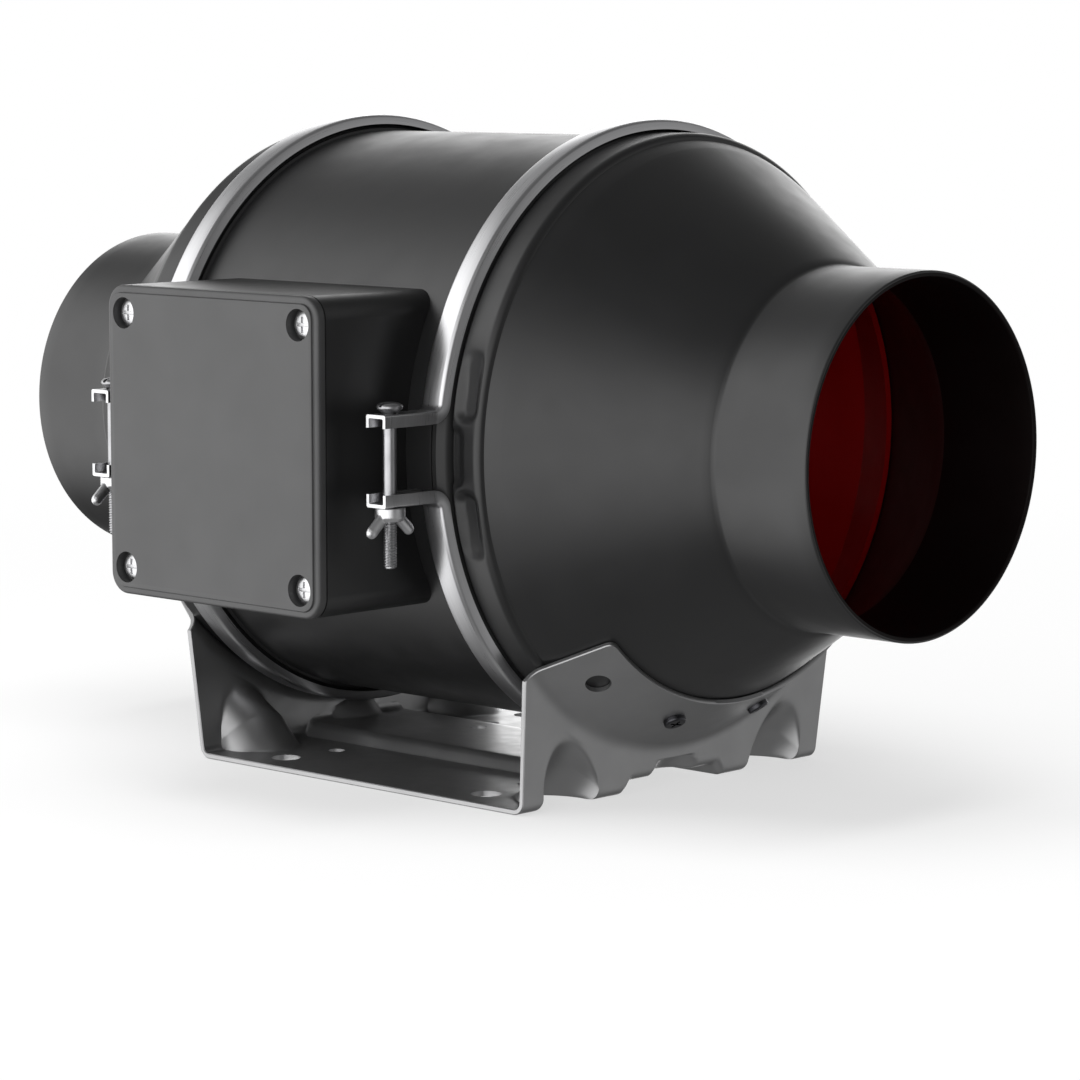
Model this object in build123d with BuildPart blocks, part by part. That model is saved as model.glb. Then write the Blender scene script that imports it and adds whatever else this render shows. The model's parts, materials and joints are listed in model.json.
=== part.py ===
"""Inline mixed-flow duct fan for round duct of the 100 mm class, as an assembly of separate pieces.

Frame: X runs along the duct axis towards the outlet, the terminal box faces -Y and Z is up.
The origin lies on the bracket's underside, below the middle of the duct axis. Sizes in mm.
"""
from build123d import *

import os
from math import atan2, cos, radians, sin, sqrt, tan

# ---------------------------------------------------------------- driving dimensions
axis_height = 97.5          # duct axis above the bracket's underside
half_length = 150.5         # middle of the fan to a spigot's rim
spigot_radius = 48.5        # outside of the spigot
spigot_wall = 1.7
crease_x = 120.3            # where the cone meets the spigot
shell_radius = 81.5         # outside of the motor casing
shell_wall = 2.2
shell_bore = shell_radius - shell_wall
cone_start = (73.9, 78.4)   # end of the shoulder arc, as distance along X and radius
cone_end = (119.8, 48.9)
cone_wall = 2.0
skirt_radius = 82.0
skirt_start_x = 59.6
skirt_end_x = 67.2          # a ridge arc follows here, then the shoulder arc
ridge_end = (69.4, 80.6)
groove_radius = 80.6        # between flange and skirt
notch_x = 63.6              # soft notch in the skirt behind the clamp ears
notch_size = (7.8, 15.0)
notch_depth = 1.4

joint_x = 54.5              # middle plane of the clamped joint
seal_thickness = 1.0
flange_radius = 84.6
flange_thickness = 3.0

band_radius = 86.0          # outside of the clamp band
band_sheet = 1.0
band_flat = 7.0             # width of the band's outer face
ear_height = 12.0           # outer face of an ear above or below the duct axis
ear_tip_y = -105.0
bolt_y = -100.0
bolt_radius = 2.0

box_half_x = 41.5
box_half_z = 42.0
box_front_y = -113.4        # face of the terminal cover
cover_seam_y = -110.0
box_wall = 2.8
box_corner = 6.0
cover_screw_x = 34.3
cover_screw_z = 34.5

sheet = 1.5                 # bracket sheet
base_half_x = 64.2
base_half_y = 61.0
plate_flare = 5.0           # degrees that an end plate leans outwards
saddle_angle = 46.0         # degrees that a saddle reaches each side of the bottom
saddle_end_x = 88.0
gusset_y = 42.0

# screws as head radius, head height, shank radius and shank length
saddle_screw_size = (3.1, 1.5, 1.9, 7.0)
cover_screw_size = (3.7, 1.3, 1.9, 12.0)
box_screw_size = (2.9, 1.8, 1.45, 7.2)
pole_screw_size = (1.7, 1.2, 1.0, 1.0)
motor_screw_size = (2.7, 1.6, 1.5, 5.2)

hub_radius = 46.0
liner_radius = 79.1
liner_wall = 1.8
tip_radius = 76.5
shaft_radius = 4.0
blade_count = 7
vane_count = 9

# ---------------------------------------------------------------- shared planes and helpers
duct_centre = (0, 0, axis_height)
axial_plane = Plane(origin=duct_centre, x_dir=(1, 0, 0), z_dir=(0, -1, 0))
duct_axis = Axis(duct_centre, (1, 0, 0))


def save(builder, label):
    """Label one finished piece and write it to its own file."""
    builder.part.label = label
    export_step(builder.part, f"parts/{label}.step")


def save_pair(builder, name):
    """Write an outlet side piece and its mirror image for the inlet side."""
    save(builder, f"outlet_{name}")
    with BuildPart() as twin:
        mirror(builder.part, about=Plane.YZ)
    save(twin, f"inlet_{name}")


def across(x):
    """Plane square to the duct axis at x; its local X is the row's Y and its local Y is up."""
    return Plane(origin=(x, 0, axis_height), x_dir=(0, 1, 0), z_dir=(1, 0, 0))


def facing(y, x=0.0, z=0.0):
    """Plane that faces -Y at y; its local X is the row's X and its local Y is up."""
    return Plane(origin=(x, y, axis_height + z), x_dir=(1, 0, 0), z_dir=(0, -1, 0))


def tube(plane, outer, inner, length):
    """Solid of a plain ring of the given radii, standing on a plane."""
    with BuildPart() as ring:
        with BuildSketch(plane):
            Circle(outer)
            if inner:
                Circle(inner, mode=Mode.SUBTRACT)
        extrude(amount=length)
    return ring.part


def turned(outline):
    """Solid of revolution about the duct axis from (x, radius) corners."""
    with BuildPart() as body:
        with BuildSketch(axial_plane):
            with BuildLine():
                Polyline(*outline, close=True)
            make_face()
        revolve(axis=duct_axis)
    return body.part


def pan_screw(seat, head, height, shank, length):
    """Cross-recessed pan head screw: the head stands on the seat plane, the shank goes below it."""
    with BuildPart() as screw:
        with BuildSketch(seat):
            Circle(head)
        extrude(amount=height)
        crown = screw.faces().sort_by(Axis(seat.origin, seat.z_dir))[-1]
        fillet(crown.edges(), 0.45 * height)
        with BuildSketch(seat):
            Circle(shank)
        extrude(amount=-length)
        with BuildSketch(seat.offset(height)):
            Rectangle(1.2 * head, 0.26 * head)
            Rectangle(0.26 * head, 1.2 * head)
        extrude(amount=-0.5 * height, mode=Mode.SUBTRACT)
    return screw.part


os.makedirs("parts", exist_ok=True)

# ---------------------------------------------------------------- end caps
cone_slope = (cone_start[1] - cone_end[1]) / (cone_end[0] - cone_start[0])
cone_tilt = atan2(cone_start[1] - cone_end[1], cone_end[0] - cone_start[0])
wall_shift = cone_wall / cos(cone_tilt)


def cone_radius(x):
    """Outside radius of the straight cone at a distance x along the axis."""
    return cone_end[1] + (cone_end[0] - x) * cone_slope


inner_shoulder_x = 66.2
flange_inner_x = joint_x + seal_thickness / 2
flange_outer_x = flange_inner_x + flange_thickness
spigot_bore = spigot_radius - spigot_wall
saddle_screw_angle = 12.9
saddle_screw_x = 78.3
saddle_boss_radius = 4.6
saddle_boss_depth = 6.5
rim_round = 0.6


def cone_normal_plane(angle, x, lift=0.0):
    """Plane on the cone's outside, its Z pointing out of the cone, angle degrees from the bottom."""
    turn = radians(angle)
    radial = Vector(0, -sin(turn), -cos(turn))
    normal = Vector(sin(cone_tilt), 0, 0) + radial * cos(cone_tilt)
    foot = Vector(*duct_centre) + Vector(x, 0, 0) + radial * cone_radius(x)
    return Plane(origin=foot + normal * lift, z_dir=normal)


with BuildPart() as outlet_cone:
    with BuildSketch(axial_plane):
        with BuildLine():
            skirt = Polyline(
                (flange_inner_x, shell_bore),
                (flange_inner_x, flange_radius),
                (flange_inner_x + 0.8, flange_radius),
                (flange_outer_x, skirt_radius + 0.2),
                (flange_outer_x + 0.4, groove_radius),
                (skirt_start_x - 0.2, groove_radius),
                (skirt_start_x, skirt_radius - 0.5),
            )
            lip = ThreePointArc(skirt @ 1, (skirt_start_x + 0.2, skirt_radius - 0.1),
                                (skirt_start_x + 0.7, skirt_radius))
            flat = Line(lip @ 1, (skirt_end_x, skirt_radius))
            ridge = ThreePointArc(flat @ 1, (skirt_end_x + 1.4, skirt_radius - 0.4), ridge_end)
            shoulder = ThreePointArc(ridge @ 1, (71.8, 79.5), cone_start)
            Line(shoulder @ 1, cone_end)
            spigot = Polyline(
                cone_end,
                (crease_x, spigot_radius),
                (half_length, spigot_radius),
                (half_length, spigot_bore),
                (crease_x, spigot_bore),
                (cone_end[0] - 0.8, cone_radius(cone_end[0] - 0.8) - wall_shift),
                (inner_shoulder_x, cone_radius(inner_shoulder_x) - wall_shift),
            )
            Line(spigot @ 1, (flange_inner_x, shell_bore))
        make_face()
    revolve(axis=duct_axis)
    rim_edges = outlet_cone.edges().filter_by(GeomType.CIRCLE).filter_by_position(
        Axis.X, half_length - 0.01, half_length + 0.01)
    fillet(rim_edges, rim_round)
    # soft recess in the skirt behind the clamp ears, so that the bolt can be reached
    with BuildSketch(facing(-skirt_radius, notch_x)):
        RectangleRounded(*notch_size, 2.5)
    extrude(amount=-notch_depth, both=True, mode=Mode.SUBTRACT)
    # blind bosses inside the cone for the saddle screws
    for side in (-1, 1):
        with BuildSketch(cone_normal_plane(side * saddle_screw_angle, saddle_screw_x, -1.0)):
            Circle(saddle_boss_radius)
        extrude(amount=-saddle_boss_depth)
        with BuildSketch(cone_normal_plane(side * saddle_screw_angle, saddle_screw_x, 1.0)):
            Circle(saddle_screw_size[2] + 0.05)
        extrude(amount=-saddle_boss_depth - 0.5, mode=Mode.SUBTRACT)
save_pair(outlet_cone, "cone")

# ---------------------------------------------------------------- motor casing
lead_x = 24.0               # where the motor lead crosses the air path
lead_hole = 3.6
box_screw_x = 28.0
box_screw_z = 12.0
casing_end_x = joint_x - seal_thickness / 2

with BuildPart() as motor_casing:
    with BuildSketch(axial_plane):
        with BuildLine():
            Polyline(
                (0, shell_bore),
                (0, shell_radius),
                (casing_end_x - flange_thickness - 1.4, shell_radius),
                (casing_end_x - flange_thickness - 1.0, skirt_radius + 0.2),
                (casing_end_x - flange_thickness, skirt_radius + 0.2),
                (casing_end_x - 0.8, flange_radius),
                (casing_end_x, flange_radius),
                (casing_end_x, shell_bore),
                close=True,
            )
        make_face()
        mirror(about=Plane.YZ)
    revolve(axis=duct_axis)
    with BuildSketch(facing(-70)):
        with Locations((lead_x, 0)):
            Circle(lead_hole)
        with GridLocations(2 * box_screw_x, 2 * box_screw_z, 2, 2):
            Circle(box_screw_size[2])
    extrude(amount=14, mode=Mode.SUBTRACT)
save(motor_casing, "motor_casing")

# ---------------------------------------------------------------- joint seals and clamp bands
with BuildPart() as outlet_seal:
    add(tube(across(casing_end_x), flange_radius - 0.4, shell_bore, seal_thickness))
save_pair(outlet_seal, "seal")

flank_drop = 3.4            # how far a flank stands in from the band's outer face
flank_flare = 1.4
bolt_clearance = 0.3
ear_fillet = 2.5            # bend of the band's middle surface at an ear
web_radius = band_radius - band_sheet / 2
web_height = ear_height - band_sheet / 2


def band_path():
    """Middle line of the band in its own plane: ear, bend, loop round the joint, bend, ear."""
    bend_z = web_height + ear_fillet
    reach = web_radius + ear_fillet
    bend_y = -sqrt(reach ** 2 - bend_z ** 2)
    touch = web_radius / reach
    centre = Vector(bend_y, bend_z)
    to_middle = (Vector(bend_y, web_height) + centre * touch) / 2 - centre
    middle = centre + to_middle.normalized() * ear_fillet
    ear_end = (bend_y, web_height)
    bend_middle = (middle.X, middle.Y)
    loop_start = (bend_y * touch, bend_z * touch)
    below = [(y, -z) for y, z in (loop_start, bend_middle, ear_end)]
    with BuildLine(across(joint_x)) as path:
        Line((ear_tip_y, web_height), ear_end)
        ThreePointArc(ear_end, bend_middle, loop_start)
        ThreePointArc(loop_start, (web_radius, 0), below[0])
        ThreePointArc(*below)
        Line(below[2], (ear_tip_y, -web_height))
    return path.line


with BuildPart() as outlet_clamp_band:
    ear_plane = Plane(
        origin=(joint_x, ear_tip_y, axis_height + web_height), x_dir=(1, 0, 0), z_dir=(0, 1, 0))
    with BuildSketch(ear_plane):
        # local Y points down here, towards the casing side of the band
        with BuildLine():
            half_flat = band_flat / 2
            Polyline(
                (0, -band_sheet / 2),
                (half_flat - 0.5, -band_sheet / 2),
                (half_flat, 0),
                (half_flat + flank_flare, flank_drop - band_sheet / 2),
                (half_flat + flank_flare - 1.0, flank_drop - band_sheet / 2),
                (half_flat - 0.9, band_sheet / 2),
                (0, band_sheet / 2),
                close=True,
            )
        make_face()
        mirror(about=Plane.YZ)
    sweep(path=band_path(), transition=Transition.ROUND)
    with BuildSketch(Plane(origin=(joint_x, bolt_y, axis_height))):
        Circle(bolt_radius + bolt_clearance)
    extrude(amount=2 * ear_height, both=True, mode=Mode.SUBTRACT)
save_pair(outlet_clamp_band, "clamp_band")

# ---------------------------------------------------------------- clamp bolts and wing nuts
bolt_bottom = 69.4
head_radius = 3.6
head_height = 3.0
head_cone = 1.4             # height of the head's conical underside
neck_radius = 2.4
driver_slot = 1.0
nut_top = axis_height - ear_height - 0.2
nut_height = 4.0
boss_top_radius = 4.6
wing_half_thickness = 1.5
# one wing's outline from the boss top, as distance along Y and height from the top
wing_outline = ((5.6, 0), (5.8, -2.6), (8.2, -5.9), (6.0, -8.2), (2.6, -nut_height - 0.6))

with BuildPart() as outlet_clamp_bolt:
    bolt_top = axis_height + ear_height
    with BuildSketch(Plane(origin=(joint_x, bolt_y, bolt_bottom))):
        Circle(bolt_radius)
    extrude(amount=bolt_top - bolt_bottom)
    chamfer(outlet_clamp_bolt.faces().sort_by(Axis.Z)[0].edges(), 0.4)
    with BuildSketch(Plane(origin=(joint_x, bolt_y, bolt_top))):
        Circle(neck_radius)
    with BuildSketch(Plane(origin=(joint_x, bolt_y, bolt_top + head_cone))):
        Circle(head_radius)
    loft()
    with BuildSketch(Plane(origin=(joint_x, bolt_y, bolt_top + head_cone))):
        Circle(head_radius)
    extrude(amount=head_height - head_cone)
    fillet(outlet_clamp_bolt.faces().sort_by(Axis.Z)[-1].edges(), 0.8)
    with BuildSketch(Plane(origin=(joint_x, bolt_y, bolt_top + head_height))):
        Rectangle(driver_slot, 2 * head_radius)
    extrude(amount=-driver_slot, mode=Mode.SUBTRACT)
save_pair(outlet_clamp_bolt, "clamp_bolt")

with BuildPart() as outlet_wing_nut:
    wing_plane = Plane(origin=(joint_x, bolt_y, nut_top), x_dir=(0, 1, 0), z_dir=(1, 0, 0))
    with BuildSketch(wing_plane):
        with BuildLine():
            Polyline(*wing_outline, *[(-y, z) for y, z in reversed(wing_outline)], close=True)
        make_face()
    extrude(amount=wing_half_thickness, both=True)
    wing_tips = outlet_wing_nut.edges().filter_by(Axis.X).group_by(Axis.Z)[:2]
    fillet([edge for group in wing_tips for edge in group], 1.2)
    with BuildSketch(Plane(origin=(joint_x, bolt_y, nut_top))):
        Circle(boss_top_radius)
    extrude(amount=-nut_height)
    with BuildSketch(Plane(origin=(joint_x, bolt_y, nut_top))):
        Circle(bolt_radius + 0.05)
    extrude(amount=-3 * nut_height, mode=Mode.SUBTRACT)
save_pair(outlet_wing_nut, "wing_nut")

# ---------------------------------------------------------------- bracket
saddle_gap = 0.15           # saddle's inside above the cone
saddle_lift = saddle_gap / cos(cone_tilt)
saddle_rise = sheet / cos(cone_tilt)
bend_radius = 3.6           # outside of the bend between base and plate
rib_half = 17.5             # flat top of the raised rib
rib_foot = 21.0
rib_top = 5.0
saddle_hole_angle = 37.0
saddle_hole_x = 77.5
saddle_hole_radius = 3.5
saddle_screw_hole = 2.3
# holes in one half of the base as x, y and radius
base_holes = ((40.0, 50.0, 4.25), (40.0, -50.0, 4.25), (38.0, 32.0, 2.5), (38.0, -32.0, 2.5),
              (21.5, 9.8, 2.5), (24.0, 28.0, 5.0))


def plate_x(z, inset=0.0):
    """Outer face of the leaning end plate at a height z, moved inwards by inset."""
    return base_half_x + z * tan(radians(plate_flare)) - inset / cos(radians(plate_flare))


def gusset_plane(y):
    """Plane square to the 45 degree ridge of a corner gusset, centred on the bracket's corner line."""
    return Plane(origin=(base_half_x, y, 0), x_dir=(0, 1, 0), z_dir=(-1, 0, -1))


# place along Y, half width and height of each stamped gusset
gussets = ((gusset_y, 10.9, 17.0), (-gusset_y, 10.9, 17.0), (0, 9.0, 10.5))

with BuildPart() as saddle_sheet:
    with BuildSketch(axial_plane):
        with BuildLine():
            inner_start = cone_radius(60) + saddle_lift
            inner_end = cone_radius(saddle_end_x) + saddle_lift
            Polyline((60, inner_start), (saddle_end_x, inner_end),
                     (saddle_end_x, inner_end + saddle_rise), (60, inner_start + saddle_rise), close=True)
        make_face()
    revolve(axis=duct_axis)

with BuildPart() as saddle_wedge:
    with BuildSketch(across(58)):
        with BuildLine():
            reach = 130
            side_y = reach * sin(radians(saddle_angle))
            side_z = -reach * cos(radians(saddle_angle))
            Polyline((0, 0), (-side_y, side_z), (0, -reach), (side_y, side_z), close=True)
        make_face()
    extrude(amount=40)

with BuildPart() as inside_of_saddle:
    add(turned([(58, 0), (58, cone_radius(58) + saddle_lift + saddle_rise),
                (100, cone_radius(100) + saddle_lift + saddle_rise), (100, 0)]))

with BuildPart() as bracket_half:
    # base and end plate as one folded section, from the middle of the fan outwards
    with BuildSketch(Plane.XZ):
        with BuildLine():
            outer_line = Polyline((0, 0), (base_half_x, 0), (plate_x(axis_height), axis_height))
            fillet(outer_line.vertices().sort_by(Axis.X)[1], bend_radius)
            Polyline((plate_x(axis_height), axis_height), (plate_x(axis_height, sheet), axis_height),
                     (plate_x(sheet, sheet), sheet), (0, sheet), (0, 0))
        make_face()
    extrude(amount=base_half_y, both=True)
    # raised rib along the base
    with BuildSketch(Plane.YZ):
        with BuildLine():
            Polyline((-rib_foot, 0), (rib_foot, 0), (rib_foot, sheet), (rib_half, rib_top),
                     (-rib_half, rib_top), (-rib_foot, sheet), close=True)
        make_face()
    extrude(amount=plate_x(rib_top, sheet))
    # stamped gussets, trimmed to the inside of the fold and then hollowed
    for y, half_width, height in gussets:
        with BuildSketch(gusset_plane(y)):
            Ellipse(half_width, height / sqrt(2))
        extrude(amount=40, both=True)
    with BuildSketch(Plane.XZ):
        with BuildLine():
            Polyline((-60, 0), (base_half_x - bend_radius, 0), (plate_x(bend_radius), bend_radius),
                     (plate_x(140), 140), (200, 140), (200, -60), (-60, -60), close=True)
        make_face()
    extrude(amount=2 * base_half_y, both=True, mode=Mode.SUBTRACT)
    with BuildSketch(Plane.YZ):
        with BuildLine():
            inner_half = rib_half - 0.6
            inner_foot = rib_foot - 0.6
            Polyline((-inner_foot, -1), (inner_foot, -1), (inner_foot, 0), (inner_half, rib_top - sheet),
                     (-inner_half, rib_top - sheet), (-inner_foot, 0), close=True)
        make_face()
    extrude(amount=plate_x(0, sheet), mode=Mode.SUBTRACT)
    for y, half_width, height in gussets:
        with BuildSketch(gusset_plane(y)):
            Ellipse(half_width - sheet, height / sqrt(2) - sheet)
        extrude(amount=40, both=True, mode=Mode.SUBTRACT)
    with BuildSketch(Plane(origin=(base_half_x - 8, 0, 0), x_dir=(0, 1, 0), z_dir=(1, 0, 0))):
        with BuildLine():
            Polyline((-14, -1), (14, -1), (14, 0), (9, 3.4), (-9, 3.4), (-14, 0), close=True)
        make_face()
    extrude(amount=12, mode=Mode.SUBTRACT)
    # the plate ends under the saddle and follows its curve
    add(inside_of_saddle.part, mode=Mode.SUBTRACT)
    with BuildSketch(Plane(origin=(55, 0, 0), x_dir=(0, 1, 0), z_dir=(1, 0, 0))):
        with Locations((0, 90)):
            Rectangle(2 * base_half_y + 10, 98)
    extrude(amount=30, mode=Mode.SUBTRACT)

with BuildPart() as saddle:
    add(saddle_sheet.part)
    add(saddle_wedge.part, mode=Mode.INTERSECT)
    # nothing of the saddle is left inboard of the plate's inner face
    with BuildSketch(Plane.XZ):
        with BuildLine():
            Polyline((50, -10), (plate_x(-10, sheet), -10), (plate_x(120, sheet), 120), (50, 120),
                     close=True)
        make_face()
    extrude(amount=100, both=True, mode=Mode.SUBTRACT)

with BuildPart() as bracket:
    add(bracket_half.part)
    add(saddle.part)
    # fastening holes in the base and the saddle
    with BuildSketch(Plane.XY):
        for x, y, radius in base_holes:
            with Locations((x, y)):
                Circle(radius)
    extrude(amount=2 * rib_top, mode=Mode.SUBTRACT)
    for angle, x, radius in ((saddle_hole_angle, saddle_hole_x, saddle_hole_radius),
                             (saddle_screw_angle, saddle_screw_x, saddle_screw_hole)):
        for side in (-1, 1):
            with BuildSketch(cone_normal_plane(side * angle, x, -4.0)):
                Circle(radius)
            extrude(amount=10, mode=Mode.SUBTRACT)
    mirror(about=Plane.YZ)
save(bracket, "bracket")

with BuildPart() as saddle_screws:
    for side in (-1, 1):
        seat = cone_normal_plane(side * saddle_screw_angle, saddle_screw_x, saddle_gap + sheet)
        add(pan_screw(seat, *saddle_screw_size))
    mirror(about=Plane.YZ)
save(saddle_screws, "saddle_screws")

# ---------------------------------------------------------------- terminal box
floor_radius = shell_radius + 3.2
saddle_clear = 0.1
boss_radius = 5.4
groove_width = 1.2
groove_depth = 1.2
gland_y = -91.5
gland_z = 22.0
gland_thread = 5.9
block_z = -20.0
block_seat_y = -89.0
block_screw_x = 13.5
capacitor_y = -97.0
capacitor_z = 20.0
capacitor_radius = 11.0
clip_seat_y = -85.6
cover_screw_seat_y = -110.8
box_screw_seat_y = -86.0

with BuildPart() as box_cavity:
    with BuildSketch(facing(-60)):
        RectangleRounded(2 * (box_half_x - box_wall), 2 * (box_half_z - box_wall), box_corner - box_wall)
    extrude(amount=60)
    with BuildSketch(across(-box_half_x)):
        Circle(floor_radius)
    extrude(amount=2 * box_half_x, mode=Mode.SUBTRACT)

with BuildPart() as terminal_box:
    with BuildSketch(facing(-50)):
        RectangleRounded(2 * box_half_x, 2 * box_half_z, box_corner)
    extrude(amount=-50 - cover_seam_y)
    add(box_cavity.part, mode=Mode.SUBTRACT)
    # cover screw bosses in the corners
    with BuildSketch(facing(-88)):
        with GridLocations(2 * cover_screw_x, 2 * cover_screw_z, 2, 2):
            Circle(boss_radius)
    extrude(amount=-88 - cover_seam_y)
    # seats on the floor for the box screws, the terminal block and the capacitor clip
    with BuildSketch(facing(-80)):
        with GridLocations(2 * box_screw_x, 2 * box_screw_z, 2, 2):
            Circle(4.2)
    extrude(amount=-80 - box_screw_seat_y)
    with BuildSketch(facing(-78.5)):
        with Locations((-block_screw_x, block_z), (block_screw_x, block_z)):
            Circle(3.2)
    extrude(amount=-78.5 - block_seat_y)
    with BuildSketch(facing(-77)):
        with Locations((0, capacitor_z)):
            RectangleRounded(12, 26, 1.5)
    extrude(amount=-77 - clip_seat_y)
    # the back follows the casing
    with BuildSketch(across(-box_half_x)):
        Circle(shell_radius + saddle_clear)
    extrude(amount=2 * box_half_x, mode=Mode.SUBTRACT)
    # holes, all along Y except the cable entry
    with BuildSketch(facing(-90)):
        with GridLocations(2 * cover_screw_x, 2 * cover_screw_z, 2, 2):
            Circle(1.95)
    extrude(amount=-90 - cover_seam_y, mode=Mode.SUBTRACT)
    with BuildSketch(facing(-70)):
        with GridLocations(2 * box_screw_x, 2 * box_screw_z, 2, 2):
            Circle(1.7)
        with Locations((lead_x, 0)):
            Circle(lead_hole)
    extrude(amount=20, mode=Mode.SUBTRACT)
    with BuildSketch(facing(-82)):
        with Locations((-block_screw_x, block_z), (block_screw_x, block_z)):
            Circle(1.3)
    extrude(amount=-82 - block_seat_y, mode=Mode.SUBTRACT)
    with BuildSketch(Plane(origin=(-box_half_x - 1, gland_y, axis_height + gland_z), z_dir=(1, 0, 0))):
        Circle(gland_thread + 0.1)
    extrude(amount=box_wall + 2, mode=Mode.SUBTRACT)
    # gasket groove around the rim
    with BuildSketch(facing(cover_seam_y)):
        middle = box_wall / 2
        half_groove = groove_width / 2
        RectangleRounded(2 * (box_half_x - middle + half_groove), 2 * (box_half_z - middle + half_groove),
                         box_corner - middle + half_groove)
        RectangleRounded(2 * (box_half_x - middle - half_groove), 2 * (box_half_z - middle - half_groove),
                         box_corner - middle - half_groove, mode=Mode.SUBTRACT)
    extrude(amount=-groove_depth, mode=Mode.SUBTRACT)
save(terminal_box, "terminal_box")

with BuildPart() as cover_gasket:
    with BuildSketch(facing(cover_seam_y)):
        RectangleRounded(2 * (box_half_x - middle + half_groove), 2 * (box_half_z - middle + half_groove),
                         box_corner - middle + half_groove)
        RectangleRounded(2 * (box_half_x - middle - half_groove), 2 * (box_half_z - middle - half_groove),
                         box_corner - middle - half_groove, mode=Mode.SUBTRACT)
    extrude(amount=-groove_depth)
save(cover_gasket, "cover_gasket")

with BuildPart() as terminal_cover:
    with BuildSketch(facing(cover_seam_y)):
        RectangleRounded(2 * box_half_x, 2 * box_half_z, box_corner)
    extrude(amount=cover_seam_y - box_front_y)
    fillet(terminal_cover.faces().sort_by(Axis.Y)[0].edges(), 1.6)
    # locating lip inside the box, cut away around the screw bosses
    with BuildSketch(facing(cover_seam_y)):
        lip_half_x = box_half_x - box_wall - 0.3
        lip_half_z = box_half_z - box_wall - 0.3
        RectangleRounded(2 * lip_half_x, 2 * lip_half_z, box_corner - box_wall)
        RectangleRounded(2 * lip_half_x - 3, 2 * lip_half_z - 3, 1.8, mode=Mode.SUBTRACT)
        with GridLocations(2 * cover_screw_x, 2 * cover_screw_z, 2, 2):
            Rectangle(2 * boss_radius + 3, 2 * boss_radius + 3, mode=Mode.SUBTRACT)
    extrude(amount=-2.5)
    with BuildSketch(facing(box_front_y)):
        with GridLocations(2 * cover_screw_x, 2 * cover_screw_z, 2, 2):
            Circle(4.25)
    extrude(amount=box_front_y - cover_screw_seat_y, mode=Mode.SUBTRACT)
    with BuildSketch(facing(box_front_y)):
        with GridLocations(2 * cover_screw_x, 2 * cover_screw_z, 2, 2):
            Circle(2.2)
    extrude(amount=-8, mode=Mode.SUBTRACT)
save(terminal_cover, "terminal_cover")

with BuildPart() as cover_screws:
    for x in (-cover_screw_x, cover_screw_x):
        for z in (-cover_screw_z, cover_screw_z):
            add(pan_screw(facing(cover_screw_seat_y, x, z), *cover_screw_size))
save(cover_screws, "cover_screws")

with BuildPart() as box_screws:
    for x in (-box_screw_x, box_screw_x):
        for z in (-box_screw_z, box_screw_z):
            add(pan_screw(facing(box_screw_seat_y, x, z), *box_screw_size))
save(box_screws, "box_screws")

# ---------------------------------------------------------------- terminal block and capacitor
block_length = 36.0
block_depth = 12.0
block_width = 14.0
pole_pitch = 9.0
pole_row_pitch = 6.4
pole_well_depth = 2.6
wire_hole = 1.9

with BuildPart() as terminal_block:
    with BuildSketch(facing(block_seat_y, 0, block_z)):
        RectangleRounded(block_length, block_width, 1.0)
    extrude(amount=4.0)
    with BuildSketch(facing(block_seat_y - 4.0, 0, block_z)):
        with GridLocations(pole_pitch, 0, 4, 1):
            RectangleRounded(pole_pitch - 1.2, block_width - 1.5, 1.0)
    extrude(amount=block_depth - 4.0)
    with BuildSketch(Plane(origin=(0, block_seat_y - 7.2, axis_height + block_z), z_dir=(0, 0, 1))):
        with GridLocations(pole_pitch, 0, 4, 1):
            Circle(wire_hole)
    extrude(amount=block_width, both=True, mode=Mode.SUBTRACT)
    with BuildSketch(facing(block_seat_y - block_depth, 0, block_z)):
        with GridLocations(pole_pitch, pole_row_pitch, 4, 2):
            Circle(pole_screw_size[0] + 0.2)
    extrude(amount=-pole_well_depth, mode=Mode.SUBTRACT)
    with BuildSketch(facing(block_seat_y - block_depth, 0, block_z)):
        with GridLocations(pole_pitch, pole_row_pitch, 4, 2):
            Circle(pole_screw_size[2] + 0.05)
    extrude(amount=-4.0, mode=Mode.SUBTRACT)
    with BuildSketch(facing(block_seat_y - block_depth, 0, block_z)):
        with GridLocations(2 * block_screw_x, 0, 2, 1):
            Circle(1.5)
    extrude(amount=-block_depth, mode=Mode.SUBTRACT)
save(terminal_block, "terminal_block")

with BuildPart() as terminal_screws:
    for pole in (-1.5, -0.5, 0.5, 1.5):
        for row in (-0.5, 0.5):
            seat = facing(block_seat_y - block_depth + pole_well_depth, pole * pole_pitch,
                          block_z + row * pole_row_pitch)
            add(pan_screw(seat, *pole_screw_size))
save(terminal_screws, "terminal_screws")

with BuildPart() as block_screws:
    for x in (-block_screw_x, block_screw_x):
        add(pan_screw(facing(block_seat_y - block_depth, x, block_z), 2.4, 1.5, 1.25, block_depth + 5.0))
save(block_screws, "block_screws")

capacitor_length = 38.0

with BuildPart() as capacitor:
    capacitor_foot = (-capacitor_length / 2, capacitor_y, axis_height + capacitor_z)
    with BuildSketch(Plane(origin=capacitor_foot, z_dir=(1, 0, 0))):
        Circle(capacitor_radius)
    extrude(amount=capacitor_length)
    fillet(capacitor.edges().filter_by(GeomType.CIRCLE), 1.2)
save(capacitor, "capacitor")

clip_sheet = 0.8
clip_half = 5.0
clip_foot_z = 9.5

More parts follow.
